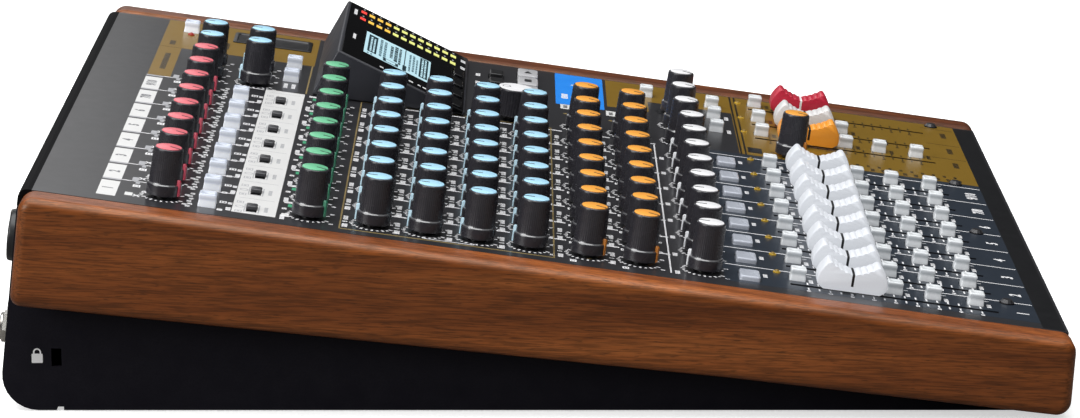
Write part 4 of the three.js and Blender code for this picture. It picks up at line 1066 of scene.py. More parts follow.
# Marks of one strip, with x counted from its axis. A bar is (ink, left, right, low, high), a sign (ink, x, s,
# half width, line), a stroke (ink, x and s of both ends, width), a number (ink, text, x, s, height), a word
# (ink, x, s, length, height) and a scale (s, first number, last number, their height)
LABEL_LOW, LABEL_HIGH, LABEL_LEFT, LABEL_RIGHT, LABEL_MIDDLE = 140.3, 146.7, -8.3, 12.6, 143.5
BAND_LOW, BAND_HIGH, BAND_LEFT, BAND_RIGHT = 86.6, 101.4, -148, 49.5
STRIP_BARS = [
    ("grey", 14.4, 16.2, LABEL_LOW, LABEL_HIGH),
    ("grey", 12.6, 16.2, 133.9, 135.3),
    ("grey", 15.4, 21.6, 134.6, 136.8),
    ("grey", 13.6, 13.9, 88, 100),
    ("green", 9.4, 13.2, 80.9, 83.3),
    ("white", -8.6, -8.1, 19.5, 37.3),
    ("white", -8.6, -6.9, 36.8, 37.3),
    ("white", -8.6, -6.9, 19.5, 20.0),
]
STRIP_SIGNS = [
    ("white", 9.4, 134.6, 1.6, 0.6),
    ("white", 3.6, LOW_CUT[1] - 5.0, 1.5, 0.45),
    ("grey", -5.4, MODE_ROW + 4.3, 1.5, 0.3),
    ("grey", 7.4, MODE_ROW + 4.3, 1.5, 0.3),
]
STRIP_SIGNS += [("white", 10.6, s + 4.2, 1.3, 0.5) for s in BLUE_ROWS]
STRIP_SIGNS += [("white", -10.4, s + 5.0, 1.4, 0.5) for s in ORANGE_ROWS]
STRIP_STROKES = [("white", -5.4, 134.6, -2.4, 132.4, 0.6), ("white", -2.4, 134.6, -5.4, 132.4, 0.6)]
STRIP_STROKES += [("white", 9.8, s - 3.2, 12.6, s - 6.4, 0.5) for s in ORANGE_ROWS]
STRIP_NUMBERS = [
    ("white", "20", 2.4, 131.4, 1.7),
    ("white", "80", -7.4, LOW_CUT[1] - 4.6, 1.9),
    ("white", "50", 6.4, 84.2, 1.6),
]
for k in range(6):
    STRIP_NUMBERS.append(("white", str(10 * k + 10), 3.6 * k - 8.6, RED_ROW - 9 - k % 2 * 0.5, 1.6))
STRIP_NUMBERS += [("white", "0", 0.2, s + 9.3, 1.9) for s in BLUE_ROWS]
STRIP_NUMBERS += [("white", "5", 0, s + 9.4, 1.6) for s in ORANGE_ROWS]
STRIP_NUMBERS += [("white", "1", ASSIGN_SHIFT + 4.9, s - 4.4, 1.5) for s in ASSIGN_ROWS]
STRIP_WORDS = [
    ("white", -4.6, LOW_CUT[1] - 7.2, 4.4, 1.7),
    ("white", 3.2, LOW_CUT[1] - 7.4, 3.2, 1.5),
    ("white", -5.4, 84.4, 6.4, 1.6),
    ("white", 15.8, 83.2, 2.6, 3.2),
    ("white", -6.6, WHITE_ROW + 9.2, 4.2, 1.7),
    ("white", 4.6, MUTE_ROW - 5.7, 4.4, 1.5),
    ("grey", 0.6, MODE_ROW - 4.8, 7, 1.3),
]
STRIP_WORDS += [("white", -4.9, s + 9.3, 4.6, 1.9) for s in BLUE_ROWS]
STRIP_WORDS += [("white", 5.6, s + 9.3, 5.4, 1.6) for s in BLUE_ROWS]
STRIP_WORDS += [("white", -5.4, s + 9.2, 4.6, 1.8) for s in ORANGE_ROWS]
STRIP_WORDS += [("white", 5.4, s + 9.2, 5.4, 1.6) for s in ORANGE_ROWS]
STRIP_WORDS += [("white", ASSIGN_SHIFT - 1.2, s - 4.6, 4.4, 1.5) for s in ASSIGN_ROWS]
STRIP_SCALES = [(RED_ROW, "10", "60", 1.6), (GREEN_ROW, "0", "10", 1.5), (WHITE_ROW, "1", "2", 1.5)]
STRIP_SCALES += [(s, "15", "15", 1.5) for s in BLUE_ROWS]
STRIP_SCALES += [(s, "0", "10", 1.5) for s in ORANGE_ROWS]
MODE_SIGN = (1.0, MODE_ROW + 4.2, 1.5, 0.35)
MODE_FRAME_X, MODE_FRAME_S, MODE_FRAME_LINE = 5.5, 2.6, 0.35

field("label", BAND_LEFT, BAND_RIGHT, BAND_LOW, BAND_HIGH, MODE_SLOTS)
for name, x in zip(STRIP_NAMES, CHANNEL_X):
    field("label", x + LABEL_LEFT, x + LABEL_RIGHT, LABEL_LOW, LABEL_HIGH)
    numeral("dim", name, x + 2.1, LABEL_MIDDLE, 3.6)
    numeral("white", name, x + 1.4, -167.3, 4.0)
    shift, s, radius, line = MODE_SIGN
    ring("grey", x + shift, s, radius, line, 16)
    left, right = x - MODE_FRAME_X, x + MODE_FRAME_X
    frame_line("grey", left, right, MODE_ROW - MODE_FRAME_S, MODE_ROW + MODE_FRAME_S, MODE_FRAME_LINE)
    for ink, left, right, low, high in STRIP_BARS:
        bar(ink, x + left, x + right, low, high)
    for ink, shift, s, half, line in STRIP_SIGNS:
        icon(ink, x + shift, s, half, line)
    for ink, x0, s0, x1, s1, wide in STRIP_STROKES:
        stroke(ink, x + x0, s0, x + x1, s1, wide)
    for ink, text, shift, s, high in STRIP_NUMBERS:
        numeral(ink, text, x + shift, s, high)
    for ink, shift, s, length, high in STRIP_WORDS:
        word_bar(ink, x + shift, s, length, high)
    for s, low, high, size in STRIP_SCALES:
        scale_round("white", x, s, low, high, size)

# Dividers between the strips, as (x from the strip, low, high, width), and lines across them
DIVIDERS = [
    (15.6, 129.5, LABEL_LOW, DIVIDER_WIDE),
    (16.6, BAND_HIGH + 0.6, RED_ROW - 12, DIVIDER_WIDE),
    (15.9, 43, 48.6, DIVIDER_BOLD),
    (15.9, 25.4, 31, DIVIDER_BOLD),
    (15.9, 7.7, 13.3, DIVIDER_BOLD),
    (15.9, -11.6, -5, DIVIDER_BOLD),
    (15.9, -29.8, -25, DIVIDER_BOLD),
    (15.9, -47.4, -42.4, DIVIDER_BOLD),
    (DIVIDER, -100, FADER_FIELD_TOP - 1, DIVIDER_WIDE),
    (DIVIDER, FADER_FIELD_FOOT + 0.4, SLOT_MIDDLE - SLOT_LENGTH / 2 + 30, DIVIDER_WIDE),
]
for shift, low, high, wide in DIVIDERS:
    for x in CHANNEL_X:
        bar("white", x + shift, x + shift + wide, low, high)
BOX_LEFT, BOX_RIGHT, BOX_LOW, BOX_HIGH, BOX_LINE, CROSS_HALF = -151, 51, -7.3, 65, 0.9, 0.26
for ink, left, right, s in (
    ("goldline", BOX_LEFT, BOX_RIGHT, BOX_HIGH),
    ("goldline", BOX_LEFT, BOX_RIGHT, BOX_LOW),
    ("white", STRIP_LEFT, 46.4, -46.8),
):
    bar(ink, left, right, s - CROSS_HALF, s + CROSS_HALF)
bar("goldline", BOX_LEFT, BOX_LEFT + BOX_LINE, BOX_LOW, BOX_HIGH)
bar("goldline", BOX_RIGHT - BOX_LINE, BOX_RIGHT, BOX_LOW, BOX_HIGH)

# Fader block of the strips: dark slate, with a scale beside each slot
EDGE_BAND, EDGE_BAND_FOOT = 155, -179.6
field("slate", STRIP_LEFT, STRIP_RIGHT, FADER_FIELD_FOOT, FADER_FIELD_TOP, OPENINGS)
field("dark", -EDGE_BAND, EDGE_BAND, EDGE_BAND_FOOT, FADER_FIELD_FOOT)
FADER_MARKS = ["10", "5", "0", "5", "10", "20", "30", "40", "60"]
SCALE_END, SCALE_IN, SCALE_OUT, SCALE_NUMBER, SCALE_NUMBER_HIGH = 6, 2.0, 4.6, 6.4, 1.3
FINE_TICK, BOLD_TICK = 0.28, 0.42


def fader_scale(ink, x):
    """Marks on both sides of a fader's slot, half steps too, with the numbers on the left."""
    top = SLOT_MIDDLE + SLOT_LENGTH / 2 - SCALE_END
    step = (SLOT_LENGTH - 2 * SCALE_END) / (len(FADER_MARKS) - 1)
    for k in range(2 * len(FADER_MARKS) - 1):
        s = top - k * step / 2
        text = FADER_MARKS[k // 2]
        half = BOLD_TICK if text == "0" and k % 2 == 0 else FINE_TICK
        for side in (-1, 1):
            bar(ink, x + side * SCALE_IN, x + side * SCALE_OUT, s - half, s + half)
        if k % 2 == 0:
            numeral(ink, text, x - SCALE_NUMBER, s, SCALE_NUMBER_HIGH)


for i, x in enumerate(FADER_X):
    fader_scale("white" if i < CHANNELS else "dark", x)

# Master side: gold and blue fields as (ink, left, right, low, high, openings), and marks as in the strips,
# but with x counted from the panel's middle
CARD_X, CARD_S, CARD_HALF_X, CARD_HALF_S = 137.6, 103.8, 9.6, 15.6
CARD = (CARD_X - CARD_HALF_X, CARD_X + CARD_HALF_X, CARD_S - CARD_HALF_S, CARD_S + CARD_HALF_S)
FIELD_EDGE, GOLD_LEFT = 155.4, 52
MASTER_FIELDS = [
    ("gold", 48, FIELD_EDGE, 137.8, 146.5, PALE_OPENINGS),
    ("gold", 103, FIELD_EDGE, 85.6, 137.8, [CARD] + PALE_OPENINGS),
    ("gold", 105, FIELD_EDGE, -46.5, -30, OPENINGS),
    ("gold", 124, FIELD_EDGE, -80, -46.5, OPENINGS),
    ("gold", GOLD_LEFT, FIELD_EDGE, -172, -80, OPENINGS),
    ("blue", 97, FIELD_EDGE, -28.8, -9.6, ()),
]
MASTER_BARS = [
    ("goldline", BOX_RIGHT, 103, 86.0, 86.6),
    ("dark", 102.8, 103.1, 137.9, 146.4),
    ("dark", GOLD_LEFT, FIELD_EDGE, -81.0, -80.3),
    ("dark", GOLD_LEFT, FIELD_EDGE, -82.8, -82.1),
    ("dark", 56.5, 65.5, -89, -83.5),
]
MASTER_BARS += [("dark", x + 10.4, x + 10.8, -171.4, -158) for x in FADER_X[CHANNELS:]]
MASTER_WORDS = [
    ("dark", 76, 142, 30, 2.2),
    ("dark", 112, 142, 8, 2.2),
    ("dark", 119, 121, 12, 1.8),
    ("white", 113.1, -13.2, 9, 2.6),
    ("white", 141.6, -20.6, 6, 3.6),
    ("white", 61, 94.6, 8, 1.5),
    ("white", 61, 91.6, 8, 1.5),
]
MASTER_WORDS += [("dark", 55.6, -110.4 - 4.2 * k, 4.2, 1.6) for k in range(14)]
MASTER_WORDS += [("dark", 61.2, -109.2 - 4.2 * k, 3.0, 1.2) for k in range(14)]
MASTER_WORDS += [("dark", x, -166.4, 9, 2.2) for x in FADER_X[CHANNELS:]]
MASTER_WORDS += [("dark", x, s - 5.2, 6, 1.5) for x, s in MASTER_ASSIGN]
MASTER_WORDS += [("white", x, s - 5.2, 6, 1.6) for x, s in TRIO[:2]]
MASTER_WORDS += [("white", x, MENU_ROW + 7.2, 5, 1.8) for x in MENU_X + (middle("menu_key")[0],)]
MASTER_NUMBERS = [("0", 136, 2.6), ("10", 112, 3.0), ("1", 99.6, 2.2)]
NUMBER_ROW = -17.4
WORDED_LABELS, WORDED_HALF_X, WORDED_HALF_S = [(93.5, -13.3), (91.9, -31.2)], 4.4, 1.9
SMALL_LABELS, SMALL_HALF_X, SMALL_HALF_S = [(-143, 136.2), (-142.8, 83.6)], 2.2, 1.3
GOLD_DOTS, GOLD_DOT, RED_DOT, DOT_SIDES = [(80.3, -13.3), (78.8, -30.9), (-145, -19.2)], 0.9, 1.1, 14

for ink, left, right, low, high, openings in MASTER_FIELDS:
    field(ink, left, right, low, high, openings)
for mark in MASTER_BARS:
    bar(*mark)
for mark in MASTER_WORDS:
    word_bar(*mark)
for text, x, high in MASTER_NUMBERS:
    numeral("white", text, x, NUMBER_ROW, high)
for x, s in WORDED_LABELS:
    field("label", x - WORDED_HALF_X, x + WORDED_HALF_X, s - WORDED_HALF_S, s + WORDED_HALF_S)
    word_bar("dark", x, s, 5, 1.6)
for x, s in SMALL_LABELS:
    field("label", x - SMALL_HALF_X, x + SMALL_HALF_X, s - SMALL_HALF_S, s + SMALL_HALF_S)
for x, s in GOLD_DOTS:
    dot("goldline", x, s, GOLD_DOT, DOT_SIDES)
dot("red", middle("phantom_button")[0] + 0.2, middle("phantom_button")[1] - 5.6, RED_DOT, DOT_SIDES)
for node, _, _ in MASTERS:
    scale_round("dark" if node in ("level_knob_3", "phones_knob") else "white", *middle(node))

for name, shape in printed.items():
    piece("print_" + name, mesh_of("print_" + name, shape, [INK[name]], BEND), PANEL)

# Display hood: its face slopes from a high rear edge to a low front edge. FACE lies on it, its origin at the
# rear edge, so that a place t millimetres down the face has y = -t
HOOD_LEFT, HOOD_RIGHT, HOOD_EDGE = 49.6, 151, 1.2
HOOD_SIDE = [(25.7, 0.25), (84.1, 0.25), (76.5, 18.9), (25.7, 1.8)]
FACE_RISE = math.atan2(HOOD_SIDE[2][1] - HOOD_SIDE[3][1], HOOD_SIDE[2][0] - HOOD_SIDE[3][0])
FACE = (
    PANEL
    @ Matrix.Translation((0, HOOD_SIDE[2][0] * MM, HOOD_SIDE[2][1] * MM))
    @ Matrix.Rotation(FACE_RISE, 4, "X")
)
WINDOW = (50.7, 149.9, 1.5, 46.2)
WINDOW_DEEP, WINDOW_PLAY, WINDOW_ROUND, GLASS_EDGE = 1.2, 0.15, 1.2, 0.12
SOFT_HALF_X, SOFT_HALF_T, SOFT_TOP, SOFT_FOOT, SOFT_PLAY = 5.4, 2.1, 0.7, -1.2, 0.3
SOFT_LOW, SOFT_HIGH = reach("soft_key", FACE)
SOFT_ROW = -(SOFT_LOW.y + SOFT_HIGH.y) / 2
SOFT_X = [(SOFT_LOW.x + SOFT_HIGH.x) / 2] + list(SOFT_KEY_X)
POCKET = 1.9


def window_outline(play):
    left, right, low, high = WINDOW[0] - play, WINDOW[1] + play, -WINDOW[3] - play, -WINDOW[2] + play
    corners = ((left, low), (right, low), (right, high), (left, high))
    return rounded([(x, y, WINDOW_ROUND) for x, y in corners], 4)


def hood_shell():
    """The hood's outside, its edges rounded, with a recess for the window and a pocket for each soft key."""
    block = Shape()
    block.loft([[(x, s, n) for s, n in HOOD_SIDE] for x in (HOOD_RIGHT, HOOD_LEFT)])
    whole = bpy.data.objects.new("hood_blank", mesh_of("hood_blank", block, [HOOD_GREY]))
    edge = whole.modifiers.new("rounded_edges", "BEVEL")
    edge.width = HOOD_EDGE * MM
    edge.segments = 4
    recess = Shape()
    recess.prism(window_outline(WINDOW_PLAY), -WINDOW_DEEP - WINDOW_PLAY, WINDOW_DEEP)
    for x in SOFT_X:
        half_x, half_t = SOFT_HALF_X + SOFT_PLAY, SOFT_HALF_T + SOFT_PLAY
        recess.block(x - half_x, x + half_x, -SOFT_ROW - half_t, -SOFT_ROW + half_t, -POCKET, POCKET)
    tool = bpy.data.objects.new("hood_tool", mesh_of("hood_tool", recess, [HOOD_GREY]))
    tool.matrix_world = PANEL.inverted() @ FACE
    for one in (whole, tool):
        bpy.context.scene.collection.objects.link(one)
    cut = whole.modifiers.new("recesses", "BOOLEAN")
    cut.operation, cut.solver, cut.object = "DIFFERENCE", "EXACT", tool
    bpy.context.view_layer.update()
    made = bpy.data.meshes.new_from_object(whole.evaluated_get(bpy.context.evaluated_depsgraph_get()))
    made.name = "hood_shell"
    for one in (whole, tool):
        bpy.data.objects.remove(one)
    made.shade_smooth()
    made.set_sharp_from_angle(angle=math.radians(25))
    return made


# The face is lacquered black below the window, round the soft keys
FACE_TREE = HOOD_GREY.node_tree
FACE_SPOT = add(
    FACE_TREE,
    "Mapping",
    {
        "Vector": add(FACE_TREE, "TexCoord").outputs["Object"],
        "Location": (0, HOOD_SIDE[2][0] * MM, HOOD_SIDE[2][1] * MM),
        "Rotation": (FACE_RISE, 0, 0),
    },
    vector_type="TEXTURE",
)
FACE_PART = add(FACE_TREE, "SeparateXYZ", {"Vector": FACE_SPOT.outputs[0]})
FACE_BELOW, FACE_END, FACE_SKIN = 45.9, 52.8, -2.2
inside = [
    add(FACE_TREE, "Math", {0: FACE_PART.outputs[axis], 1: edge * MM}, operation=side).outputs[0]
    for axis, edge, side in (
        ("Y", -FACE_BELOW, "LESS_THAN"),
        ("Y", -FACE_END, "GREATER_THAN"),
        ("Z", FACE_SKIN, "GREATER_THAN"),
    )
]
band = add(FACE_TREE, "Math", {0: inside[0], 1: inside[1]}, operation="MULTIPLY")
lacquered = add(FACE_TREE, "Math", {0: band.outputs[0], 1: inside[2]}, operation="MULTIPLY")
masked(HOOD_GREY, lacquered.outputs[0], "#08080a", 0.12, 0.15)
piece("hood_shell", hood_shell(), PANEL, stands_for=("display_hood",))


def face_plate():
    shape = Shape()
    shape.prism(window_outline(0), -WINDOW_DEEP, 0)
    return mesh_of("display_glass", shape, [FACE_BLACK])


GLASS = face_plate()
piece("display_glass", GLASS, FACE, bevel=GLASS_EDGE, stands_for=("display_window",))

# What shows through the window: a backlit display, two rows of level lamps and plain printed marks. Places
# down the face are t, as above. A line of words is (top, foot, inset from the left, inset from the right),
# and a side mark (middle, half height)
LCD = (68.7, 109, 9.9, 37.7)
METER_X, METER_FROM, METER_TO, METER_COUNT = (127.6, 141), 7.3, 46.9, 12
METER_HALF_X, METER_HALF_T = 2.1, 1.2
LCD_FOOT, LCD_TOP, INK_TOP, LAMP_TOP = -0.2, 0.03, 0.06, 0.1
OVER_INK = INK_TOP + 0.02
HEAD_LINES = [(6.2, 7.3, 6, 3), (8.0, 9.1, 5, 4), (10.7, 11.9, 12, 6), (12.5, 13.9, 9, 3), (14.4, 15.4, 7, 4)]
MENU_LINES = [(18.8, 19.6, 4, 5), (20.3, 21.2, 6, 3), (21.8, 22.5, 5, 9)]
SIDE_MARKS = [(18.1, 0.8), (30.5, 0.9), (34.0, 0.6), (36.2, 0.7)]
DARK_LINES_FROM, BLOCK_GAP, BLOCK_GAP_SPREAD = 10, 0.5, 0.6


def display():
    shape = Shape()

    def mark(x0, x1, t0, t1, top, kind):
        shape.block(x0, x1, -t1, -t0, LCD_FOOT, top, kind)

    left, right, high, low = LCD
    mark(left, right, high, low, LCD_TOP, 0)
    rng = random.Random(7)

    def words(t0, t1, x0, x1, kind, least=1.2, most=3.6):
        """A row of blocks along x that stands for a line of text."""
        start = x0
        while start < x1 - least:
            wide = min(least + (most - least) * rng.random(), x1 - start)
            mark(start, start + wide, t0, t1, OVER_INK if kind == 0 else INK_TOP, kind)
            start += wide + BLOCK_GAP + BLOCK_GAP_SPREAD * rng.random()

    mark(left + 5.2, right - 3.4, high + 1.3, high + 5.1, INK_TOP, 1)
    words(high + 2.2, high + 3.0, left + 7, right - 6, 0)
    words(high + 3.6, high + 4.3, left + 7, right - 8, 0)
    words(high + 1.4, high + 2.1, left + 1, left + 4.2, 7)
    words(high + 2.9, high + 3.6, left + 1, left + 4.2, 7)
    for t0, t1, x0, x1 in HEAD_LINES:
        words(high + t0, high + t1, left + x0, right - x1, 7 if t0 < DARK_LINES_FROM else 1)
    mark(left + 1.2, left + 6.4, high + 8.2, high + 14.6, INK_TOP, 1)
    mark(left + 2.0, left + 5.6, high + 9.4, high + 13.4, OVER_INK, 0)
    mark(left, right, high + 16.8, high + 17.2, INK_TOP, 1)
    mark(left + 0.8, left + 10.2, high + 16.4, high + 18.0, INK_TOP, 1)
    for t0, t1, x0, x1 in MENU_LINES:
        words(high + t0, high + t1, left + x0, right - x1, 7)
    mark(left + 3.4, right - 1.0, high + 23.3, high + 26.9, INK_TOP, 1)
    words(high + 24.1, high + 24.9, left + 5, right - 2.4, 0)
    words(high + 25.4, high + 26.1, left + 5, right - 2.4, 0)
    step = (METER_TO - METER_FROM) / (METER_COUNT - 1)
    for x in METER_X:
        for k in range(METER_COUNT):
            t = METER_FROM + k * step
            kind = 2 if k == 0 else 3 if k < 4 else 4
            mark(x - METER_HALF_X, x + METER_HALF_X, t - METER_HALF_T, t + METER_HALF_T, LAMP_TOP, kind)
            mark(x + 4.6, x + 6.6, t - 0.35, t + 0.35, INK_TOP, 6)
    mark(130, 140, 3.3, 4.6, INK_TOP, 5)
    for x in METER_X:
        words(METER_TO + 3.4, METER_TO + 5.4, x - 3, x + 3, 5)
    mark(84, 93, 4.7, 5.9, INK_TOP, 5)
    for at, half in SIDE_MARKS:
        mark(55.6, 57.4, at - half, at + half, INK_TOP, 5)
    finishes = [LCD_GLOW, LCD_INK, METER_RED, METER_AMBER, METER_GREEN, INK["white"], INK["grey"], LCD_FAINT]
    return mesh_of("display_parts", shape, finishes)


piece("display_parts", display(), FACE)
SOFT_ROUND, SOFT_EDGE = 0.9, 0.3
SOFT_MESH = pad_mesh(
    "soft_pad", SOFT_HALF_X, SOFT_HALF_T, SOFT_TOP, SOFT_ROUND, SOFT_BLACK, SOFT_EDGE, SOFT_FOOT
)


def on_face(x, t):
    return FACE @ Matrix.Translation((x * MM, -t * MM, 0))


for i, x in enumerate(SOFT_X):
    name, at = "soft_pad_%d" % (i + 1), on_face(x, SOFT_ROW)
    body, stood = ("soft_key", ("soft_key",)) if i == 0 else ("console", ())
    piece(name, SOFT_MESH, at, body, stands_for=stood)


# Card slot: a sunk frame round a narrow slot, as rings of (inset from the long side, inset from the short
# side, corner radius, height)
CARD_RINGS = [(0, 0, 1.2, 0), (0, 0, 1.2, 0.3), (0.35, 0.35, 1.0, 0.5), (1.8, 1.5, 0.9, 0.5)]
CARD_RINGS += [(3.4, 2.2, 0.7, -1.4), (4.6, 2.6, 0.5, -1.4), (6.5, 3.2, 0.4, -1.2)]
CARD_SLOT_HALF, CARD_SLOT_END, CARD_SLOT_ROUND, CARD_SLOT_TOP, CARD_SLOT_FLOOR = 1.3, 3.4, 0.3, -1.2, -7.5


def card_frame():
    shape = Shape()
    rings = [(CARD_HALF_X - a, CARD_HALF_S - b, r, n) for a, b, r, n in CARD_RINGS]
    for n in (CARD_SLOT_TOP, CARD_SLOT_FLOOR):
        rings.append((CARD_SLOT_HALF, CARD_HALF_S - CARD_SLOT_END, CARD_SLOT_ROUND, n))
    shape.loft([[(x, y, n) for x, y in oblong(a, b, r, 4)] for a, b, r, n in rings], 0)
    return mesh_of("card_frame", shape, [BUTTON_BLACK])


piece("card_frame", card_frame(), on_panel(CARD_X, CARD_S), stands_for=("card_slot",))


# Cheeks: walnut boards, their long edges rounded. The side outline is (y, z, corner radius)
CHEEK_SIDE = [(-180.1, 27.8, 5), (-178.4, 1.6, 5), (-61.9, 15.4, 0), (172.6, 39.9, 3.6), (168.4, 77.1, 5)]
MIRROR = Matrix.Scale(-1, 4, (1, 0, 0))


def cheek_mesh(name, wood, mirrored):
    outline = rounded(CHEEK_SIDE, 10)
    shape = Shape()
    shape.loft([[(x, y, z) for y, z in outline] for x in (CHEEK_INNER, CHEEK_INNER + CHEEK_THICK)])
    made = mesh_of(name, shape, [wood])
    if mirrored:
        made.transform(MIRROR)
        made.flip_normals()
    return made


for side, wood, mirrored in (("right", WALNUT_PAINTED_SHADE, False), ("left", WALNUT, True)):
    board = cheek_mesh(side + "_cheek_board", wood, mirrored)
    node = side + "_cheek"
    piece(node + "_board", board, Matrix(), bevel=CHEEK_ROUND, segments=6, stands_for=(node,))


# Circuit boards under the panel, with their potentiometers, switches and sliders
SHEET_THICK, SHEET_INSET = 1.6, 6.2
POT_HALF, POT_TOP, COLLAR, COLLAR_TOP = 4.6, -5.2, 2.9, 0.8
SWITCH_HALF, SWITCH_TOP = 2.6, -3.2
RAIL_HALF_X, RAIL_HALF_S, RAIL_TOP, RAIL_FLOOR, RAIL_WALL = 4.1, 39, -2.6, -6.2, 2.9
POST_SHARES, POST_INSET, POST_RADIUS, POST_TOP = (0.55, 3.55, 7.55), 4, 2, -1.75


def circuit(node, knobs, keys, rails=()):
    """A board's sheet at the node's own place, with what stands on it."""
    low, high = reach(node)
    inner = PANEL_HALF - SHEET_INSET
    floor = low.z + SHEET_THICK
    shape = Shape()
    front = max(low.y, PANEL_FRONT)
    shape.block(-inner, inner, front, high.y, low.z, floor, 0)
    for x, s in knobs:
        shape.block(x - POT_HALF, x + POT_HALF, s - POT_HALF, s + POT_HALF, floor, POT_TOP, 1)
        shape.turn([(COLLAR, POT_TOP), (COLLAR, COLLAR_TOP)], 16, 2, (x, s))
    for x, s in keys:
        shape.block(x - SWITCH_HALF, x + SWITCH_HALF, s - SWITCH_HALF, s + SWITCH_HALF, floor, SWITCH_TOP, 2)
    for x in rails:
        s0, s1 = SLOT_MIDDLE - RAIL_HALF_S, SLOT_MIDDLE + RAIL_HALF_S
        shape.block(x - RAIL_HALF_X, x + RAIL_HALF_X, s0, s1, floor, RAIL_FLOOR, 1)
        for side in (-1, 1):
            outer, inward = x + side * RAIL_HALF_X, x + side * (RAIL_HALF_X - RAIL_WALL)
            shape.block(outer, inward, s0, s1, RAIL_FLOOR, RAIL_TOP, 1)
    for share in POST_SHARES:
        x = FIRST + share * PITCH
        for s in (front + POST_INSET, high.y - POST_INSET):
            shape.turn([(POST_RADIUS, floor), (POST_RADIUS, POST_TOP)], 12, 3, (x, s))
    made = mesh_of(node + "_parts", shape, [MASK, POT_STEEL, BUTTON_BLACK, NICKEL], BEND)
    piece(node + "_parts", made, PANEL, stands_for=(node,))


def strip_places(*rows):
    return [(x, s) for x in CHANNEL_X for s in rows]


def masters_at(*names):
    return [middle(name) for name in names]


circuit(
    "input_board",
    strip_places(RED_ROW, GREEN_ROW) + masters_at(*("monitor_knob_%d" % i for i in (1, 2, 3, 4))),
    [(x, LOW_CUT[1]) for x in LOW_CUT_X] + strip_places(MODE_ROW) + PAIR + masters_at("phantom_button"),
)
circuit(
    "equaliser_board",
    strip_places(*BLUE_ROWS) + masters_at("jog_dial"),
    [(x, MENU_ROW) for x in MENU_X]
    + [(x, TRANSPORT_ROW) for x in TRANSPORT_X]
    + masters_at("menu_key", "play_key"),
)
circuit(
    "send_board",
    strip_places(WHITE_ROW, *ORANGE_ROWS)
    + masters_at("effect_send_knob_1", "effect_send_knob_2", "level_knob_1", "level_knob_2", "level_knob_3"),
    [SINGLE],
)
circuit(
    "fader_board",
    masters_at("phones_knob"),
    strip_places(MUTE_ROW)
    + [(x + ASSIGN_SHIFT, s) for x in CHANNEL_X for s in ASSIGN_ROWS]
    + MASTER_ASSIGN
    + TRIO,
    FADER_X,
)


# Rear sockets: microphone sockets with a middle bore over jacks, a power inlet, a host socket and the power
# button. Profiles are (radius, height out of the wall)
MIC_CONTACTS, MIC_CONTACT_RING = 3, 5.5
MIC_BODY = [(8.8, -1.2), (8.8, 2.2), (8.65, 2.65), (8.3, 3.0), (7.5, 3.0), (7.25, 2.8), (7.2, 1.8)]
MIC_BODY += [(3.9, 1.8), (3.65, 1.6), (3.6, -18), (0.02, -18)]
MIC_PIN = [(1.15, 1.7), (1.15, 1.95), (0.8, 1.95), (0.75, 1.85), (0.02, 1.85)]
LATCH_HALF, LATCH_FOOT, LATCH_HEAD, LATCH_BACK, LATCH_TOP = 1.9, 7.3, 8.3, 2.8, 3.2
JACK_BARREL = [(4.7, -1.2), (4.7, 3.2), (4.4, 3.6), (3.8, 3.6), (3.6, 3.4), (3.6, -18), (0.02, -18)]
JACK_NUT = [(4.75, 0.3), (5.3, 0.3), (5.6, 0.55), (5.6, 2.3), (5.25, 2.6), (4.75, 2.6)]
SOCKET_BACK, SOCKET_SHEET_LOW, SOCKET_SHEET_HIGH = -22, -62, -5
HOUSING_TOP, MIC_HOUSING, JACK_HOUSING = -1.8, 8.6, 6.4
INLET_HALF, INLET_OUT = 5, 0.4
INLET_RING = [(2.8, 0.3), (4.2, 0.3), (4.2, 0.8), (2.9, 0.8)]
INLET_PIN = [(1.0, 0.3), (1.0, 0.65), (0.6, 0.8), (0.02, 0.8)]
HOST_HALF_X, HOST_SLOT_X, HOST_HALF_UP, HOST_SLOT_UP, HOST_OUT = 6, 4.6, 3, 1.6, 0.8
TONGUE_HALF, TONGUE_LOW, TONGUE_HIGH, TONGUE_BACK, TONGUE_OUT = 4, -0.2, 0.9, -7, 0.2


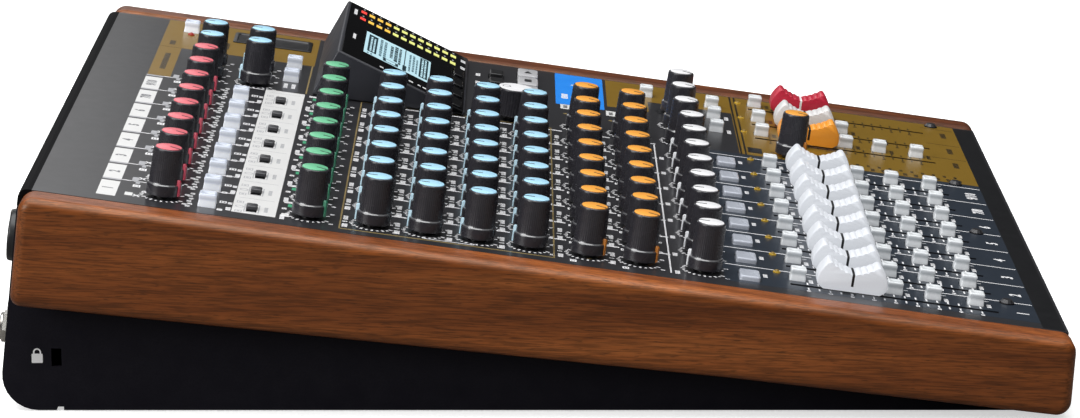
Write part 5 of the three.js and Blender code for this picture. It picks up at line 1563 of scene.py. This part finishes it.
def rear_sockets():
    shape = Shape()
    half = PANEL_HALF - SHEET_INSET
    shape.block(-half, half, SOCKET_SHEET_LOW, SOCKET_SHEET_HIGH, SOCKET_BACK - SHEET_THICK, SOCKET_BACK, 3)
    for x in CHANNEL_X:
        shape.turn([(MIC_HOUSING, SOCKET_BACK), (MIC_HOUSING, HOUSING_TOP)], 20, 0, (-x, MIC_UP))
        shape.turn(MIC_BODY, 48, 0, (-x, MIC_UP))
        for k in range(MIC_CONTACTS):
            angle = math.radians(90 + 360 / MIC_CONTACTS * k)
            at = (-x + MIC_CONTACT_RING * math.cos(angle), MIC_UP + MIC_CONTACT_RING * math.sin(angle))
            shape.turn(MIC_PIN, 16, 2, at)
        foot, head = MIC_UP + LATCH_FOOT, MIC_UP + LATCH_HEAD
        shape.block(-x - LATCH_HALF, -x + LATCH_HALF, foot, head, LATCH_BACK, LATCH_TOP, 1)
    for x in CHANNEL_X + list(OUTLET_X):
        shape.turn([(JACK_HOUSING, SOCKET_BACK), (JACK_HOUSING, HOUSING_TOP)], 20, 0, (-x, JACK_UP))
        shape.turn(JACK_BARREL, 32, 1, (-x, JACK_UP))
        shape.turn(JACK_NUT, 6, 1, (-x, JACK_UP), hollow=True)
    low, high = JACK_UP - INLET_HALF, JACK_UP + INLET_HALF
    shape.block(-INLET_X - INLET_HALF, -INLET_X + INLET_HALF, low, high, SOCKET_BACK, INLET_OUT, 0)
    shape.turn(INLET_RING, 32, 0, (-INLET_X, JACK_UP), hollow=True)
    shape.turn(INLET_PIN, 16, 1, (-INLET_X, JACK_UP))
    for side in (-1, 1):
        low, high = MIC_UP + side * HOST_SLOT_UP, MIC_UP + side * HOST_HALF_UP
        shape.block(-HOST_X - HOST_HALF_X, -HOST_X + HOST_HALF_X, low, high, SOCKET_BACK, HOST_OUT, 1)
        left, right = -HOST_X + side * HOST_SLOT_X, -HOST_X + side * HOST_HALF_X
        shape.block(left, right, MIC_UP - HOST_SLOT_UP, MIC_UP + HOST_SLOT_UP, SOCKET_BACK, HOST_OUT, 1)
    left, right = -HOST_X - TONGUE_HALF, -HOST_X + TONGUE_HALF
    shape.block(left, right, MIC_UP + TONGUE_LOW, MIC_UP + TONGUE_HIGH, TONGUE_BACK, TONGUE_OUT, 4)
    return mesh_of("rear_sockets", shape, [BUTTON_BLACK, NICKEL, GOLD_CONTACT, MASK, LINE_WHITE], 35)


piece("rear_sockets", rear_sockets(), WALL, stands_for=("rear_socket_board",))
POWER_LOW, POWER_HIGH = reach("power_button", WALL)
POWER_X, POWER_UP = (POWER_LOW.x + POWER_HIGH.x) / 2, (POWER_LOW.y + POWER_HIGH.y) / 2
POWER_HALF, POWER_ROUND = 4, 0.7
POWER_MESH = pad_mesh("power_pad", POWER_HALF, POWER_HALF, POWER_HIGH.z, POWER_ROUND, BUTTON_BLACK)
POWER_AT = WALL @ Matrix.Translation((POWER_X * MM, POWER_UP * MM, 0))
piece("power_pad", POWER_MESH, POWER_AT, "power_button", stands_for=("power_button",))

# What is printed on the steel: a number between two lines at each rear socket, a sign by the power button,
# and a plain padlock by the lock slot
SOCKET_NUMBER, SOCKET_NUMBER_HIGH, OUTLET_NUMBER, OUTLET_NUMBER_HIGH = -13.5, 3.2, 9.5, 2.6
LINE_NEAR, LINE_FAR, LINE_LOW, LINE_HIGH = 3, 7, -13.7, -13.4
POWER_SIGN_SHIFT, POWER_SIGN, POWER_SIGN_LINE, POWER_STEM_HALF = 8.5, 1.5, 0.4, 0.2
printed = {"white": Shape()}
for i, x in enumerate(CHANNEL_X):
    numeral("white", str(i + 1), -x, MIC_UP + SOCKET_NUMBER, SOCKET_NUMBER_HIGH)
    for side in (-1, 1):
        bar("white", -x + side * LINE_NEAR, -x + side * LINE_FAR, MIC_UP + LINE_LOW, MIC_UP + LINE_HIGH)
for i, x in enumerate(OUTLET_X):
    numeral("white", str(i + CHANNELS + 1), -x, JACK_UP + OUTLET_NUMBER, OUTLET_NUMBER_HIGH)
stem = POWER_X + POWER_SIGN_SHIFT
ring("white", stem, POWER_UP, POWER_SIGN, POWER_SIGN_LINE)
bar("white", stem - POWER_STEM_HALF, stem + POWER_STEM_HALF, POWER_UP + 0.6, POWER_UP + 2.1, MARK_FILM * 1.4)
piece("print_rear", mesh_of("print_rear", printed["white"], [INK["white"]], BEND), WALL)

# The side wall's own frame: x to the front, y up, z out of the wall on the left
LOCK_MARK = Vector((-156.2, 165.3, 19.2)) * MM
SIDE_WALL = Matrix.Translation(LOCK_MARK) @ Matrix(((0, 0, -1), (-1, 0, 0), (0, 1, 0))).to_4x4()
LOCK_HALF, LOCK_LOW, LOCK_HIGH, LOCK_ROUND = 1.85, -2.5, 0.7, 0.3
SHACKLE, SHACKLE_LINE, SHACKLE_RISE = 1.35, 0.5, 0.5


def shackle_side(radius):
    """A padlock's bow of one radius, from its right foot over the top to its left foot."""
    arc = [math.radians(15 * k) for k in range(13)]
    top = LOCK_HIGH + SHACKLE_RISE
    bow = [(radius * math.cos(t), top + radius * math.sin(t)) for t in arc]
    return [(radius, LOCK_HIGH)] + bow + [(-radius, LOCK_HIGH)]


def padlock():
    shape = Shape()
    corners = ((LOCK_HALF, LOCK_LOW), (LOCK_HALF, LOCK_HIGH), (-LOCK_HALF, LOCK_HIGH), (-LOCK_HALF, LOCK_LOW))
    shape.prism(rounded([(x, y, LOCK_ROUND) for x, y in corners], 3), FILM_FOOT, MARK_FILM)
    shape.prism(shackle_side(SHACKLE) + shackle_side(SHACKLE - SHACKLE_LINE)[::-1], FILM_FOOT, MARK_FILM)
    return mesh_of("padlock_mark", shape, [INK["white"]], BEND)


piece("padlock_mark", padlock(), SIDE_WALL)


# Frame nodes that show as they are take their real materials
def dress(material, *nodes):
    for node in nodes:
        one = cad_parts[node]
        one.data.materials.clear()
        one.data.materials.append(material)


dress(PANEL_COAT, "top_panel")
dress(TRAY_COAT, "bottom_tray", "base_plate")
dress(RUBBER, "foot_1", "foot_2", "foot_3", "foot_4")

# Studio: a pale floor, a large soft light overhead and two smaller ones, and a sky that is dark at its rim
CAMERA_AT, CAMERA_PITCH = Vector((-1.5215, 0.0025, 0.3969)), math.radians(13.484)
LENS, SENSOR, SHIFT_X = 141.42, 36, 0.0139
FLOOR_HALF = 6
FLOOR_COLOUR, FLOOR_BOUNCED, FLOOR_GLOW = "#f4f4f4", "#7a7875", 0.55
SKY_RIM, SKY_STRENGTH = 0.03, 0.9


def studio_floor():
    made = bpy.data.meshes.new("floor")
    corners = ((-1, -1), (1, -1), (1, 1), (-1, 1))
    made.from_pydata([(x * FLOOR_HALF, y * FLOOR_HALF, 0) for x, y in corners], [], [[0, 1, 2, 3]])
    paper = finish("studio_paper", FLOOR_COLOUR, 0.9, Specular_IOR_Level=0.1)
    tree = paper.node_tree
    shader = tree.nodes["Principled BSDF"]
    ray = add(tree, "LightPath")
    tones = {0: ray.outputs["Is Camera Ray"], 6: linear(FLOOR_BOUNCED), 7: linear(FLOOR_COLOUR)}
    mirrored = add(tree, "Mix", tones, data_type="RGBA")
    tree.links.new(mirrored.outputs[2], shader.inputs["Base Color"])
    seen = add(tree, "Math", {0: ray.outputs["Is Camera Ray"], 1: FLOOR_GLOW}, operation="MULTIPLY")
    shader.inputs["Emission Color"].default_value = (1, 1, 1, 1)
    tree.links.new(seen.outputs[0], shader.inputs["Emission Strength"])
    made.materials.append(paper)
    floor = bpy.data.objects.new("floor", made)
    bpy.context.scene.collection.objects.link(floor)


def soft_light(name, at, aim, width, height, watts):
    """A white lamp behind a rectangular diffuser."""
    lamp = bpy.data.lights.new(name, "AREA")
    lamp.shape = "RECTANGLE"
    lamp.size, lamp.size_y = width, height
    lamp.energy = watts
    made = bpy.data.objects.new(name, lamp)
    made.location = at
    made.rotation_euler = (Vector(aim) - Vector(at)).to_track_quat("-Z", "Y").to_euler()
    bpy.context.scene.collection.objects.link(made)


def sky():
    world = bpy.data.worlds.new("studio_sky")
    bpy.context.scene.world = world
    world.use_nodes = True
    tree = world.node_tree
    back = tree.nodes["Background"]
    up = add(tree, "SeparateXYZ", {"Vector": add(tree, "TexCoord").outputs["Generated"]})
    fade = {"From Min": 0.4, "From Max": 0.95, "To Min": SKY_RIM, "To Max": 1.0}
    height = add(tree, "MapRange", {"Value": up.outputs["Z"], **fade})
    back.inputs["Strength"].default_value = SKY_STRENGTH
    tree.links.new(height.outputs[0], back.inputs["Color"])


studio_floor()
sky()
# Each light is (name, place, the place it shines at, width, height, watts), in metres
LIGHTS = [
    ("overhead", (-0.25, 0.3, 1.7), (0, 0, 0.05), 1.8, 1.6, 32),
    ("camera_side", (-1.35, 1.75, 0.95), (0, 0.1, 0.05), 1.2, 0.9, 25),
    ("rear_sheen", (2.4, 0.8, 0.95), (0, 0.1, 0.05), 1.3, 0.7, 3.4),
]
for light in LIGHTS:
    soft_light(*light)

camera_data = bpy.data.cameras.new("camera")
camera_data.lens, camera_data.sensor_width, camera_data.shift_x = LENS, SENSOR, SHIFT_X
camera_data.sensor_fit = "HORIZONTAL"
camera_data.clip_end = 30
camera = bpy.data.objects.new("camera", camera_data)
bpy.context.scene.collection.objects.link(camera)
pitch_sin, pitch_cos = math.sin(CAMERA_PITCH), math.cos(CAMERA_PITCH)
turned = Matrix(((0, pitch_sin, -pitch_cos), (-1, 0, 0), (0, pitch_cos, pitch_sin)))
camera.matrix_world = Matrix.Translation(CAMERA_AT) @ turned.to_4x4()
bpy.context.scene.camera = camera
bpy.context.scene.view_settings.view_transform = "Standard"
